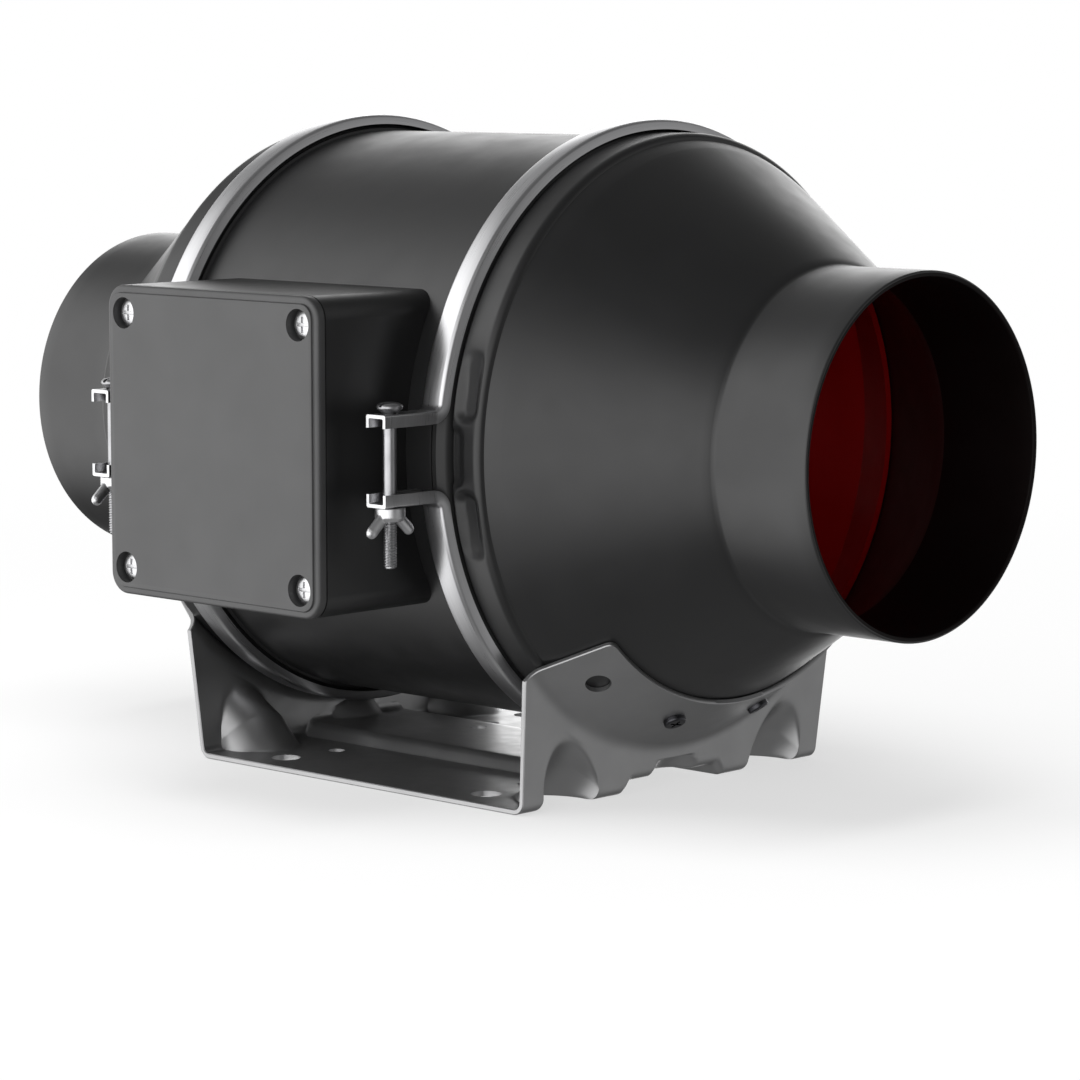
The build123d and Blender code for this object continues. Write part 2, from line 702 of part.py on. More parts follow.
with BuildPart() as capacitor_clip:
    clip_plane = Plane(origin=(-clip_half, capacitor_y, axis_height + capacitor_z), x_dir=(0, 1, 0),
                       z_dir=(1, 0, 0))
    with BuildSketch(clip_plane):
        Circle(capacitor_radius + clip_sheet + 0.05)
        with Locations((clip_seat_y - capacitor_y - clip_sheet / 2 - 0.05, 0)):
            Rectangle(clip_sheet, 2 * clip_foot_z)
        Circle(capacitor_radius + 0.05, mode=Mode.SUBTRACT)
        # open towards the cover, so that the capacitor snaps in
        with Locations((-capacitor_radius, 0)):
            Rectangle(8, 12, mode=Mode.SUBTRACT)
    extrude(amount=2 * clip_half)
    # everything stays above the seat
    with BuildSketch(facing(clip_seat_y, 0, capacitor_z)):
        Rectangle(40, 40)
    extrude(amount=-5, mode=Mode.SUBTRACT)
save(capacitor_clip, "capacitor_clip")

capacitor_lead_radius = 0.9
wire_y = block_seat_y - 7.2

with BuildPart() as capacitor_leads:
    for start_y, pole, bulge_x, bulge_z in ((-100.0, 1.5, 27.5, 11.0), (-94.0, 0.5, 25.5, 9.0)):
        start = (capacitor_length / 2 + 0.05, start_y, axis_height + capacitor_z + 2)
        end = (pole * pole_pitch, wire_y, axis_height + block_z + block_width / 2 - 0.5)
        with BuildLine():
            Spline(start, (bulge_x, start_y, axis_height + bulge_z), (end[0] + 3.0, wire_y, end[2] + 8.5),
                   end, tangents=((1, 0, 0), (0, 0, -1)))
        with BuildSketch(Plane(origin=start, z_dir=(1, 0, 0))):
            Circle(capacitor_lead_radius)
        sweep()
save(capacitor_leads, "capacitor_leads")

# ---------------------------------------------------------------- cable gland
gland_bore = 3.25
gland_hex = 7.6             # corner radius of the body's hexagon
gland_nut_hex = 7.3
locknut_hex = 7.2
gland_out_x = -box_half_x
nut_start_x = gland_out_x - 4.4
nut_end_x = gland_out_x - 12.4


def gland_plane(x):
    """Plane on the gland's axis at x, facing away from the box."""
    return Plane(origin=(x, gland_y, axis_height + gland_z), x_dir=(0, 1, 0), z_dir=(-1, 0, 0))


with BuildPart() as gland_body:
    with BuildSketch(gland_plane(gland_out_x)):
        RegularPolygon(gland_hex, 6)
    extrude(amount=4.0)
    with BuildSketch(gland_plane(gland_out_x + box_wall + 5.0)):
        Circle(gland_thread)
    extrude(amount=box_wall + 5.0 + 8.5)
    with BuildSketch(gland_plane(gland_out_x + box_wall + 5.0)):
        Circle(gland_bore + 0.25)
    extrude(amount=30, mode=Mode.SUBTRACT)
    with BuildSketch(gland_plane(gland_out_x - 1.0)):
        Circle(5.0)
    extrude(amount=30, mode=Mode.SUBTRACT)
save(gland_body, "gland_body")

with BuildPart() as gland_seal:
    with BuildSketch(gland_plane(gland_out_x - 1.0)):
        Circle(4.95)
        Circle(gland_bore, mode=Mode.SUBTRACT)
    extrude(amount=9.0)
save(gland_seal, "gland_seal")

with BuildPart() as gland_locknut:
    with BuildSketch(gland_plane(gland_out_x + box_wall + 3.5)):
        RegularPolygon(locknut_hex, 6)
        Circle(gland_thread, mode=Mode.SUBTRACT)
    extrude(amount=3.5)
save(gland_locknut, "gland_locknut")

with BuildPart() as gland_nut:
    with BuildSketch(gland_plane(nut_start_x)):
        RegularPolygon(gland_nut_hex, 6)
    extrude(amount=6.0)
    with BuildSketch(gland_plane(nut_start_x - 6.0)):
        Circle(6.2)
    extrude(amount=nut_start_x - 6.0 - nut_end_x)
    fillet(gland_nut.faces().sort_by(Axis.X)[0].edges(), 1.5)
    with BuildSketch(gland_plane(nut_start_x)):
        Circle(gland_thread + 0.06)
    extrude(amount=6.2, mode=Mode.SUBTRACT)
    with BuildSketch(gland_plane(nut_start_x)):
        Circle(gland_bore + 0.3)
    extrude(amount=20, mode=Mode.SUBTRACT)
save(gland_nut, "gland_nut")

# ---------------------------------------------------------------- liner with guide vanes and motor cup
liner_bore = liner_radius - liner_wall
liner_start_x = -63.0
nose_end_x = 84.5           # the liner ends in a nose that follows the inside of the outlet cone
nose_gap = 0.4
nose_slot_start_x = 70.0
nose_slot_width = 2 * saddle_boss_radius + 1.0
cup_front_x = -14.0
cup_end_x = 34.0
cup_wall = 2.5
cup_bore = hub_radius - cup_wall
strut_hole = 3.3
tail_tip_x = 59.5
motor_screw_circle = 30.0


def nose_radius(x):
    """Outside radius of the liner's nose."""
    return cone_radius(x) - wall_shift - nose_gap


def nose_bend_x(radius):
    """Where the nose's slope reaches a given radius."""
    return nose_end_x - (radius - nose_radius(nose_end_x)) / cone_slope


def bent_blade(x, start, stop, sections):
    """Curved blade that stands up from the duct axis; sections give chord, stagger, bow and thickness."""
    with BuildPart() as blade:
        for share, (chord, stagger, bow, thickness) in zip((0.0, 0.5, 1.0), sections):
            height = start + share * (stop - start)
            turn = radians(stagger)
            level = Plane(origin=(x, 0, axis_height + height), x_dir=(cos(turn), sin(turn), 0),
                          z_dir=(0, 0, 1))
            with BuildSketch(level):
                with BuildLine(mode=Mode.PRIVATE) as camber:
                    ThreePointArc((-chord / 2, 0), (0, bow), (chord / 2, 0))
                SlotArc(camber.line.edge(), thickness)
        loft()
    return blade.part


with BuildPart() as vane_room:
    add(turned([(-20, hub_radius - 1.0), (-20, liner_bore + 0.9), (40, liner_bore + 0.9),
                (40, hub_radius - 1.0)]))

guide_vane = bent_blade(9.0, hub_radius - 6, liner_bore + 6,
                        ((34.0, -20.0, 3.4, 2.0), (35.0, -22.0, 3.6, 1.9), (36.0, -24.0, 3.8, 1.8)))

with BuildPart() as one_vane:
    add(guide_vane)
    add(vane_room.part, mode=Mode.INTERSECT)

with BuildPart() as guide_vane_ring:
    nose_shift = liner_wall / cos(cone_tilt)
    add(turned([(liner_start_x, liner_bore + 0.5), (liner_start_x, liner_radius),
                (nose_bend_x(liner_radius), liner_radius), (nose_end_x, nose_radius(nose_end_x)),
                (nose_end_x, nose_radius(nose_end_x) - nose_shift),
                (nose_bend_x(liner_bore + nose_shift), liner_bore), (liner_start_x + 2, liner_bore)]))
    # slots that let the nose pass the saddle screw bosses inside the outlet cone
    for angle in (-saddle_screw_angle, saddle_screw_angle):
        turn = radians(angle)
        slot_plane = Plane(origin=duct_centre, x_dir=(1, 0, 0), z_dir=(0, -sin(turn), -cos(turn)))
        with BuildSketch(slot_plane.offset(hub_radius)):
            with Locations((nose_slot_start_x, 0)):
                Rectangle(2 * (nose_end_x - nose_slot_start_x), nose_slot_width,
                          align=(Align.MIN, Align.CENTER))
        extrude(amount=liner_radius - hub_radius, mode=Mode.SUBTRACT)
    add(turned([(cup_front_x, 7.0), (cup_front_x, hub_radius - 1.5), (cup_front_x + 1.5, hub_radius),
                (cup_end_x, hub_radius), (cup_end_x, cup_bore), (cup_front_x + 2.5, cup_bore),
                (cup_front_x + 2.5, 7.0)]))
    for index in range(vane_count):
        add(one_vane.part.rotate(duct_axis, 360 / vane_count * (index + 0.25)))
    # streamlined strut that carries the motor lead to the terminal box
    with BuildSketch(facing(-cup_bore - 1.0)):
        with Locations((lead_x, 0)):
            SlotOverall(18.0, 9.2)
    extrude(amount=liner_bore + 0.8 - cup_bore - 1.0)
    with BuildSketch(facing(-30)):
        with Locations((lead_x, 0)):
            Circle(strut_hole)
    extrude(amount=60, mode=Mode.SUBTRACT)
    with BuildSketch(across(cup_front_x - 1)):
        with PolarLocations(motor_screw_circle, 3):
            Circle(1.7)
    extrude(amount=6, mode=Mode.SUBTRACT)
save(guide_vane_ring, "guide_vane_ring")

with BuildPart() as tail_cone:
    with BuildSketch(axial_plane):
        with BuildLine():
            Line((cup_end_x, cup_bore - 1.2), (cup_end_x, hub_radius))
            Spline((cup_end_x, hub_radius), (45, 40.5), (55, 26.5), (tail_tip_x, 0),
                   tangents=((1, 0), (0, -1)))
            Line((tail_tip_x, 0), (tail_tip_x - 2.0, 0))
            Spline((tail_tip_x - 2.0, 0), (53.4, 24.5), (44, 37.3), (cup_end_x, cup_bore - 1.2),
                   tangents=((0, 1), (-1, 0)))
        make_face()
    revolve(axis=duct_axis)
    add(tube(across(cup_end_x - 2.2), cup_bore - 0.1, cup_bore - 1.2, 2.2))
save(tail_cone, "tail_cone")

# ---------------------------------------------------------------- motor
shield_radius = cup_bore - 0.15
shield_ring = 36.2
bearing_radius = 11.0
bearing_width = 7.0
front_bearing_x = -8.3
rear_bearing_x = 21.5
stator_start_x = 2.0
stator_end_x = 20.0
stator_radius = 40.0
through_radius = 38.6
front_face_x = cup_front_x + 2.5


with BuildPart() as front_shield:
    add(turned([(front_face_x, 5.0), (front_face_x, shield_radius), (stator_start_x, shield_radius),
                (stator_start_x, shield_ring), (front_bearing_x, shield_ring), (front_bearing_x, 14.0),
                (front_bearing_x + bearing_width, 14.0), (front_bearing_x + bearing_width, bearing_radius),
                (front_bearing_x, bearing_radius), (front_bearing_x, 5.0)]))
    with BuildSketch(across(stator_start_x)):
        with PolarLocations(through_radius, 4, start_angle=45):
            Circle(1.9)
    extrude(amount=-8, mode=Mode.SUBTRACT)
    with BuildSketch(across(front_face_x)):
        with PolarLocations(motor_screw_circle, 3):
            Circle(1.55)
    extrude(amount=4, mode=Mode.SUBTRACT)
save(front_shield, "front_shield")

with BuildPart() as rear_shield:
    rear_face_x = rear_bearing_x + bearing_width + 3.0
    add(turned([(rear_face_x, 0), (rear_face_x, shield_radius), (stator_end_x, shield_radius),
                (stator_end_x, shield_ring), (rear_face_x - 3.0, shield_ring), (rear_face_x - 3.0, 14.0),
                (rear_bearing_x, 14.0), (rear_bearing_x, bearing_radius),
                (rear_face_x - 3.0, bearing_radius), (rear_face_x - 3.0, 5.0), (rear_face_x - 2.0, 5.0),
                (rear_face_x - 2.0, 0)]))
    with BuildSketch(across(rear_face_x + 1)):
        with PolarLocations(through_radius, 4, start_angle=45):
            Circle(2.1)
    extrude(amount=-14, mode=Mode.SUBTRACT)
    with BuildSketch(facing(-30)):
        with Locations((lead_x, 0)):
            Circle(strut_hole)
    extrude(amount=20, mode=Mode.SUBTRACT)
save(rear_shield, "rear_shield")

with BuildPart() as shield_bolts:
    for index in range(4):
        turn = radians(45 + 90 * index)
        place = (rear_face_x, through_radius * cos(turn), axis_height + through_radius * sin(turn))
        add(pan_screw(Plane(origin=place, z_dir=(1, 0, 0)), 2.9, 1.8, 1.85,
                      rear_face_x - stator_start_x + 6.0))
save(shield_bolts, "shield_bolts")

with BuildPart() as motor_screws:
    for index in range(3):
        turn = radians(120 * index)
        place = (cup_front_x, motor_screw_circle * cos(turn), axis_height + motor_screw_circle * sin(turn))
        add(pan_screw(Plane(origin=place, z_dir=(-1, 0, 0)), *motor_screw_size))
save(motor_screws, "motor_screws")

slot_count = 12
slot_inner = 25.5
slot_outer = 34.0
slot_width = 7.0

with BuildPart() as stator_core:
    with BuildSketch(across(stator_start_x)):
        Circle(stator_radius)
        Circle(22.3, mode=Mode.SUBTRACT)
        with PolarLocations((slot_inner + slot_outer) / 2, slot_count):
            Rectangle(slot_outer - slot_inner, slot_width, mode=Mode.SUBTRACT)
        with PolarLocations(23.5, slot_count):
            Rectangle(6, 1.6, mode=Mode.SUBTRACT)
        with PolarLocations(through_radius, 4, start_angle=45):
            Circle(2.3, mode=Mode.SUBTRACT)
            Rectangle(6, 3.0, mode=Mode.SUBTRACT)
    extrude(amount=stator_end_x - stator_start_x)
save(stator_core, "stator_core")

with BuildPart() as stator_windings:
    add(turned([(stator_start_x - 5.5, 27.5), (stator_start_x - 4.0, 25.8), (stator_start_x - 0.3, 25.8),
                (stator_start_x - 0.3, 33.7), (stator_start_x - 4.0, 33.7), (stator_start_x - 5.5, 32.0)]))
    add(turned([(stator_end_x + 5.5, 27.5), (stator_end_x + 4.0, 25.8), (stator_end_x + 0.3, 25.8),
                (stator_end_x + 0.3, 33.7), (stator_end_x + 4.0, 33.7), (stator_end_x + 5.5, 32.0)]))
    with BuildSketch(across(stator_start_x - 1)):
        with PolarLocations((slot_inner + slot_outer) / 2, slot_count):
            Rectangle(slot_outer - slot_inner - 0.6, slot_width - 0.6)
    extrude(amount=stator_end_x - stator_start_x + 2)
save(stator_windings, "stator_windings")

with BuildPart() as rotor:
    with BuildSketch(across(stator_start_x)):
        Circle(21.9)
        Circle(shaft_radius, mode=Mode.SUBTRACT)
        with PolarLocations(20.6, 18):
            Rectangle(2.6, 0.8, mode=Mode.SUBTRACT)
    extrude(amount=stator_end_x - stator_start_x)
    for x in (stator_start_x - 2.0, stator_end_x):
        add(tube(across(x), 19.0, 14.5, 2.0))
save(rotor, "rotor")

with BuildPart() as motor_shaft:
    with BuildSketch(across(-55.0)):
        Circle(shaft_radius)
    extrude(amount=55.0 + rear_bearing_x + bearing_width)
    with BuildSketch(across(-63.5)):
        Circle(3.0)
    extrude(amount=8.5)
    chamfer(motor_shaft.faces().sort_by(Axis.X)[0].edges(), 0.5)
save(motor_shaft, "motor_shaft")

ball_circle = 7.5
ball_radius = 1.98
race_groove = 2.02
bearing_starts = (front_bearing_x, rear_bearing_x)


def race(x, outer, inner):
    """Bearing ring between two radii with the groove that its balls run in."""
    with BuildPart() as ring:
        add(tube(across(x), outer, inner, bearing_width))
        with BuildSketch(axial_plane):
            with Locations((x + bearing_width / 2, ball_circle)):
                Circle(race_groove)
        revolve(axis=duct_axis, mode=Mode.SUBTRACT)
    return ring.part


with BuildPart() as bearing_outer_rings:
    for x in bearing_starts:
        add(race(x, bearing_radius, 9.0))
save(bearing_outer_rings, "bearing_outer_rings")

with BuildPart() as bearing_inner_rings:
    for x in bearing_starts:
        add(race(x, 6.1, shaft_radius))
save(bearing_inner_rings, "bearing_inner_rings")

with BuildPart() as bearing_balls:
    for x in bearing_starts:
        for index in range(8):
            turn = radians(45 * index)
            place = (x + bearing_width / 2, ball_circle * cos(turn), axis_height + ball_circle * sin(turn))
            with Locations(place):
                Sphere(ball_radius)
save(bearing_balls, "bearing_balls")

# ---------------------------------------------------------------- impeller
impeller_front_x = -60.0
impeller_back_x = -18.0
nut_radius = 6.4
nut_bore = 3.0

with BuildPart() as blade_room:
    add(turned([(-58, 15.0), (-58, 44.0), (-51, 70.0), (-48, tip_radius), (-21, tip_radius), (-19, 60.0),
                (-19, 15.0)]))

impeller_blade_shape = bent_blade(-38.0, 14.0, tip_radius + 6,
                                  ((50.0, 38.0, -6.0, 2.6), (46.0, 48.0, -5.0, 2.1),
                                   (44.0, 58.0, -4.0, 1.7)))

with BuildPart() as one_blade:
    add(impeller_blade_shape)
    add(blade_room.part, mode=Mode.INTERSECT)

# section of the open back between hub shell and shaft boss, as (x, radius)
hub_hollow = [(impeller_back_x, 42.6), (-33, 33.9), (-46, 23.0), (-46, 10.0), (impeller_back_x, 8.0)]

with BuildPart() as impeller:
    with BuildSketch(axial_plane):
        with BuildLine():
            Polyline((impeller_front_x, shaft_radius), (impeller_front_x, 13.0))
            nose = Spline((impeller_front_x, 13.0), (-50, 23.5), (-34, 36.5), (impeller_back_x, 45.0),
                          tangents=((0.15, 1), (1, 0.35)))
            Polyline(nose @ 1, *hub_hollow, (impeller_back_x, shaft_radius),
                     (impeller_front_x, shaft_radius))
        make_face()
    revolve(axis=duct_axis)
    for index in range(blade_count):
        add(one_blade.part.rotate(duct_axis, 360 / blade_count * index))
    # blade roots that reach into the hollow back are cut off
    add(turned(hub_hollow), mode=Mode.SUBTRACT)
    add(turned([(-70, 0), (-70, shaft_radius), (-10, shaft_radius), (-10, 0)]), mode=Mode.SUBTRACT)
save(impeller, "impeller")

with BuildPart() as impeller_nut:
    with BuildSketch(across(impeller_front_x)):
        RegularPolygon(nut_radius, 6)
        Circle(nut_bore, mode=Mode.SUBTRACT)
    extrude(amount=-4.5)
save(impeller_nut, "impeller_nut")

# ---------------------------------------------------------------- motor lead
lead_radius = 2.6

with BuildPart() as lead_grommet:
    with BuildSketch(facing(-liner_radius - 0.4)):
        with Locations((lead_x, 0)):
            Circle(lead_hole)
            Circle(lead_radius, mode=Mode.SUBTRACT)
    extrude(amount=8.0)
save(lead_grommet, "lead_grommet")

with BuildPart() as motor_lead:
    with BuildLine():
        rise = Line((lead_x, -35.0, axis_height), (lead_x, -90.0, axis_height))
        ThreePointArc(rise @ 1, (lead_x, -95.5, axis_height - 2.6), (lead_x, -97.0, axis_height - 8.0))
    with BuildSketch(Plane(origin=(lead_x, -35.0, axis_height), z_dir=(0, -1, 0))):
        Circle(lead_radius)
    sweep()
save(motor_lead, "motor_lead")
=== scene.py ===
"""Looks of an inline duct fan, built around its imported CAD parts. Metres, in the CAD's own frame:
X runs along the duct towards the outlet, the terminal box faces -Y and Z is up."""
import json
from math import asin, atan2, cos, degrees, pi, radians, sin, sqrt, tan

import bmesh
import bpy
import numpy as np
from mathutils import Matrix, Vector


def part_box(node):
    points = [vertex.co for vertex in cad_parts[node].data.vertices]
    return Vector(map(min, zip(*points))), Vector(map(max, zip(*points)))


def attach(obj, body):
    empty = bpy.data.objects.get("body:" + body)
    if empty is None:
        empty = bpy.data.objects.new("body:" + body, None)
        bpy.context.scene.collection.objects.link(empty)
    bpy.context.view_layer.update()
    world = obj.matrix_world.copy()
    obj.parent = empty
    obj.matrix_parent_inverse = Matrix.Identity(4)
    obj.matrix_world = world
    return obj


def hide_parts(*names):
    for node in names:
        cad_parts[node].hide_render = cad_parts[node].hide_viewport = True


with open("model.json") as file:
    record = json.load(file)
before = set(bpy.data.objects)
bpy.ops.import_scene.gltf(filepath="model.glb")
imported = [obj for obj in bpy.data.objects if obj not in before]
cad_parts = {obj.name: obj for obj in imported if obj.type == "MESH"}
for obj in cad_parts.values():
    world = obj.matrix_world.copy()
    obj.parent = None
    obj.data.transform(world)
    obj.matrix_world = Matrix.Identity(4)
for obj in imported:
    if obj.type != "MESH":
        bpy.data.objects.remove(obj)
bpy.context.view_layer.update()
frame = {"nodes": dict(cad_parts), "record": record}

MM = 0.001

# ---------------------------------------------------------------- driving dimensions, read off the frame
casing_low, casing_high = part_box("motor_casing")
bracket_low, bracket_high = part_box("bracket")
cone_low, cone_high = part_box("outlet_cone")
band_low, band_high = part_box("outlet_clamp_band")
bolt_low, bolt_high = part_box("outlet_clamp_bolt")
nut_low, nut_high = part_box("outlet_wing_nut")

axis_z = (casing_low.z + casing_high.z) / 2
flange_r = (casing_high.z - casing_low.z) / 2
casing_end = casing_high.x
joint_x = (band_low.x + band_high.x) / 2
rim_x = cone_high.x


# ---------------------------------------------------------------- mesh helpers
def new_object(name, points, faces):
    """Mesh object from points and faces, smooth shaded."""
    mesh = bpy.data.meshes.new(name)
    mesh.from_pydata([tuple(p) for p in points], [], [tuple(f) for f in faces])
    mesh.validate()
    obj = bpy.data.objects.new(name, mesh)
    bpy.context.scene.collection.objects.link(obj)
    smooth(obj)
    return obj


def smooth(obj, angle=32):
    """Smooth shading with sharp edges where faces meet at more than angle degrees."""
    obj.data.polygons.foreach_set("use_smooth", [True] * len(obj.data.polygons))
    obj.data.set_sharp_from_angle(angle=radians(angle))


def outward(obj):
    """Make all faces of a closed mesh point outwards."""
    work = bmesh.new()
    work.from_mesh(obj.data)
    bmesh.ops.recalc_face_normals(work, faces=work.faces)
    work.to_mesh(obj.data)
    work.free()


def joined(name, *objects):
    """One object made of several meshes."""
    points, faces = [], []
    for obj in objects:
        start = len(points)
        matrix = obj.matrix_world
        points += [matrix @ v.co for v in obj.data.vertices]
        faces += [[start + i for i in p.vertices] for p in obj.data.polygons]
        bpy.data.objects.remove(obj)
    return new_object(name, points, faces)


def applied(obj, kind, **settings):
    """Add a modifier and apply it at once."""
    modifier = obj.modifiers.new(kind.lower(), kind)
    for key, value in settings.items():
        setattr(modifier, key, value)
    graph = bpy.context.evaluated_depsgraph_get()
    mesh = bpy.data.meshes.new_from_object(obj.evaluated_get(graph))
    obj.modifiers.clear()
    old = obj.data
    obj.data = mesh
    bpy.data.meshes.remove(old)
    return obj


def cut(obj, *cutters):
    """Subtract closed meshes from a closed mesh."""
    tool = joined("cutter", *cutters) if len(cutters) > 1 else cutters[0]
    outward(tool)
    bpy.context.view_layer.update()
    applied(obj, "BOOLEAN", operation="DIFFERENCE", object=tool, solver="EXACT")
    bpy.data.objects.remove(tool)
    return obj


def grid_faces(rows, columns, wrap_rows=False, wrap_columns=False):
    """Quads of a grid of points laid out row by row."""
    faces = []
    for i in range(rows if wrap_rows else rows - 1):
        for j in range(columns if wrap_columns else columns - 1):
            a, b = i, (i + 1) % rows
            c, d = j, (j + 1) % columns
            faces.append((a * columns + c, b * columns + c, b * columns + d, a * columns + d))
    return faces


def lathe(name, outline, angles, change=None, sign=1):
    """Closed outline of (x, radius) turned about the duct axis; change(x, r, y, z) gives a radius shift."""
    points = []
    for x, r in outline:
        for a in angles:
            shift = change(x, r, -r * cos(a), r * sin(a)) if change else 0.0
            points.append((sign * x, -(r + shift) * cos(a), axis_z + (r + shift) * sin(a)))
    obj = new_object(name, points, grid_faces(len(outline), len(angles), True, True))
    outward(obj)
    smooth(obj)
    return obj


def pin(name, foot, axis, outline, segments=32):
    """Solid turned about an axis from foot; outline is (distance along the axis, radius), ends closed."""
    side = axis.orthogonal().normalized()
    other = axis.cross(side).normalized()
    points = [foot + axis * h + (side * cos(2 * pi * k / segments) + other * sin(2 * pi * k / segments)) * r
              for h, r in outline for k in range(segments)]
    faces = grid_faces(len(outline), segments, False, True)
    last = (len(outline) - 1) * segments
    faces.append(tuple(range(segments)))
    faces.append(tuple(last + k for k in range(segments)))
    obj = new_object(name, points, faces)
    outward(obj)
    smooth(obj)
    return obj


def arc(start, middle, end, steps):
    """Points on the circle through three (x, r) points, without the first."""
    ax, ay = start
    bx, by = middle
    cx, cy = end
    d = 2 * (ax * (by - cy) + bx * (cy - ay) + cx * (ay - by))
    ux = ((ax * ax + ay * ay) * (by - cy) + (bx * bx + by * by) * (cy - ay) + (cx * cx + cy * cy) * (ay - by)) / d
    uy = ((ax * ax + ay * ay) * (cx - bx) + (bx * bx + by * by) * (ax - cx) + (cx * cx + cy * cy) * (bx - ax)) / d
    r = sqrt((ax - ux) ** 2 + (ay - uy) ** 2)
    first, mid, last = atan2(ay - uy, ax - ux), atan2(by - uy, bx - ux), atan2(cy - uy, cx - ux)
    sweep = (last - first) % (2 * pi)
    if (mid - first) % (2 * pi) > sweep:
        sweep -= 2 * pi
    return [(ux + r * cos(first + sweep * k / steps), uy + r * sin(first + sweep * k / steps))
            for k in range(1, steps + 1)]


def line(start, end, steps):
    """Evenly spaced points from start to end, without the first."""
    return [(start[0] + (end[0] - start[0]) * k / steps, start[1] + (end[1] - start[1]) * k / steps)
            for k in range(1, steps + 1)]


def ease(low, high, value):
    """Smooth step from 0 at low to 1 at high."""
    t = np.clip((value - low) / (high - low), 0, 1)
    return t * t * (3 - 2 * t)


def finished(obj, body, slot, *nodes):
    """Give a new piece its body and its slot's finish, and hide the CAD nodes that it stands for."""
    obj.data.materials.clear()
    obj.data.materials.append(finishes[slot])
    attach(obj, body)
    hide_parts(*nodes)
    return obj


# ---------------------------------------------------------------- materials
class Finish:
    """Node material around one Principled shader, with object coordinates in metres."""

    def __init__(self, name, colour, roughness, metallic=0.0, **inputs):
        self.material = bpy.data.materials.new(name)
        self.material.use_nodes = True
        self.tree = self.material.node_tree
        self.shader = self.tree.nodes["Principled BSDF"]
        self.shader.inputs["Metallic"].default_value = metallic
        for key, value in inputs.items():
            self.shader.inputs[key.replace("_", " ")].default_value = value
        self.place = self.node("ShaderNodeTexCoord").outputs["Object"]
        self.normal = None
        self.colour_socket = None
        self.colour = (*colour, 1.0)
        self.roughness = roughness

    def node(self, kind, **inputs):
        made = self.tree.nodes.new(kind)
        for key, value in inputs.items():
            socket = made.inputs[key.replace("_", " ")]
            if hasattr(value, "is_output"):
                self.tree.links.new(value, socket)
            else:
                socket.default_value = value
        return made

    def link(self, output, target):
        self.tree.links.new(output, target)

    def noise(self, scale, detail=2.0, stretch=None):
        """Noise with scale cells per metre; stretch squeezes the pattern per axis."""
        place = self.place
        if stretch:
            place = self.node("ShaderNodeMapping", Vector=place, Scale=stretch).outputs["Vector"]
        return self.node("ShaderNodeTexNoise", Vector=place, Scale=scale, Detail=detail).outputs["Fac"]

    def around(self, across_scale, along_scale):
        """Noise streaked around the duct axis."""
        parts = self.node("ShaderNodeSeparateXYZ", Vector=self.place)
        height = self.node("ShaderNodeMath")
        height.operation = "SUBTRACT"
        self.link(parts.outputs["Z"], height.inputs[0])
        height.inputs[1].default_value = axis_z
        turn = self.node("ShaderNodeMath")
        turn.operation = "ARCTAN2"
        self.link(parts.outputs["Y"], turn.inputs[0])
        self.link(height.outputs[0], turn.inputs[1])
        radius = self.node("ShaderNodeVectorMath")
        radius.operation = "LENGTH"
        flat = self.node("ShaderNodeCombineXYZ", Y=parts.outputs["Y"], Z=height.outputs[0])
        self.link(flat.outputs[0], radius.inputs[0])
        place = self.node("ShaderNodeCombineXYZ", X=parts.outputs["X"], Y=turn.outputs[0],
                          Z=radius.outputs["Value"]).outputs[0]
        place = self.node("ShaderNodeMapping", Vector=place,
                          Scale=(across_scale, along_scale, across_scale)).outputs["Vector"]
        return self.node("ShaderNodeTexNoise", Vector=place, Scale=1.0, Detail=3.0).outputs["Fac"]

    def spread(self, source, low, high):
        """Map the middle of a noise to a range."""
        return self.node("ShaderNodeMapRange", Value=source, From_Min=0.3, From_Max=0.7, To_Min=low,
                         To_Max=high).outputs[0]

    def soft_edges(self, radius, lighten):
        """Round the look of edges by radius metres and lighten them a little, as rubbed corners are."""
        bevel = self.node("ShaderNodeBevel", Radius=radius)
        bevel.samples = 4
        self.normal = bevel.outputs["Normal"]
        flat = self.node("ShaderNodeNewGeometry").outputs["Normal"]
        dot = self.node("ShaderNodeVectorMath")
        dot.operation = "DOT_PRODUCT"
        self.link(self.normal, dot.inputs[0])
        self.link(flat, dot.inputs[1])
        edge = self.node("ShaderNodeMapRange", Value=dot.outputs["Value"], From_Min=0.99, From_Max=0.75,
                         To_Min=0.0, To_Max=lighten)
        self.edge = edge.outputs[0]

    def tint(self, source, amount):
        """Vary the colour by plus or minus amount with a noise."""
        value = self.spread(source, 1 - amount, 1 + amount)
        scale = self.node("ShaderNodeVectorMath")
        scale.operation = "SCALE"
        scale.inputs[0].default_value = self.colour[:3]
        if self.colour_socket:
            self.link(self.colour_socket, scale.inputs[0])
        self.link(value, scale.inputs["Scale"])
        self.colour_socket = scale.outputs[0]

    def vary_roughness(self, source, amount):
        value = self.spread(source, self.roughness - amount, self.roughness + amount)
        self.link(value, self.shader.inputs["Roughness"])

    def bump(self, source, height):
        """Relief of a given height in metres."""
        made = self.node("ShaderNodeBump", Height=source, Distance=height, Strength=1.0)
        if self.normal:
            self.link(self.normal, made.inputs["Normal"])
        self.normal = made.outputs["Normal"]

    def done(self):
        colour = self.colour_socket
        if hasattr(self, "edge"):
            mix = self.node("ShaderNodeMix")
            mix.data_type = "RGBA"
            self.link(self.edge, mix.inputs["Factor"])
            if colour:
                self.link(colour, mix.inputs["A"])
            else:
                mix.inputs["A"].default_value = self.colour
            mix.inputs["B"].default_value = (*[min(1.0, 2.2 * c + 0.03) for c in self.colour[:3]], 1)
            colour = mix.outputs["Result"]
        if colour:
            self.link(colour, self.shader.inputs["Base Color"])
        else:
            self.shader.inputs["Base Color"].default_value = self.colour
        if self.normal:
            self.link(self.normal, self.shader.inputs["Normal"])
        return self.material


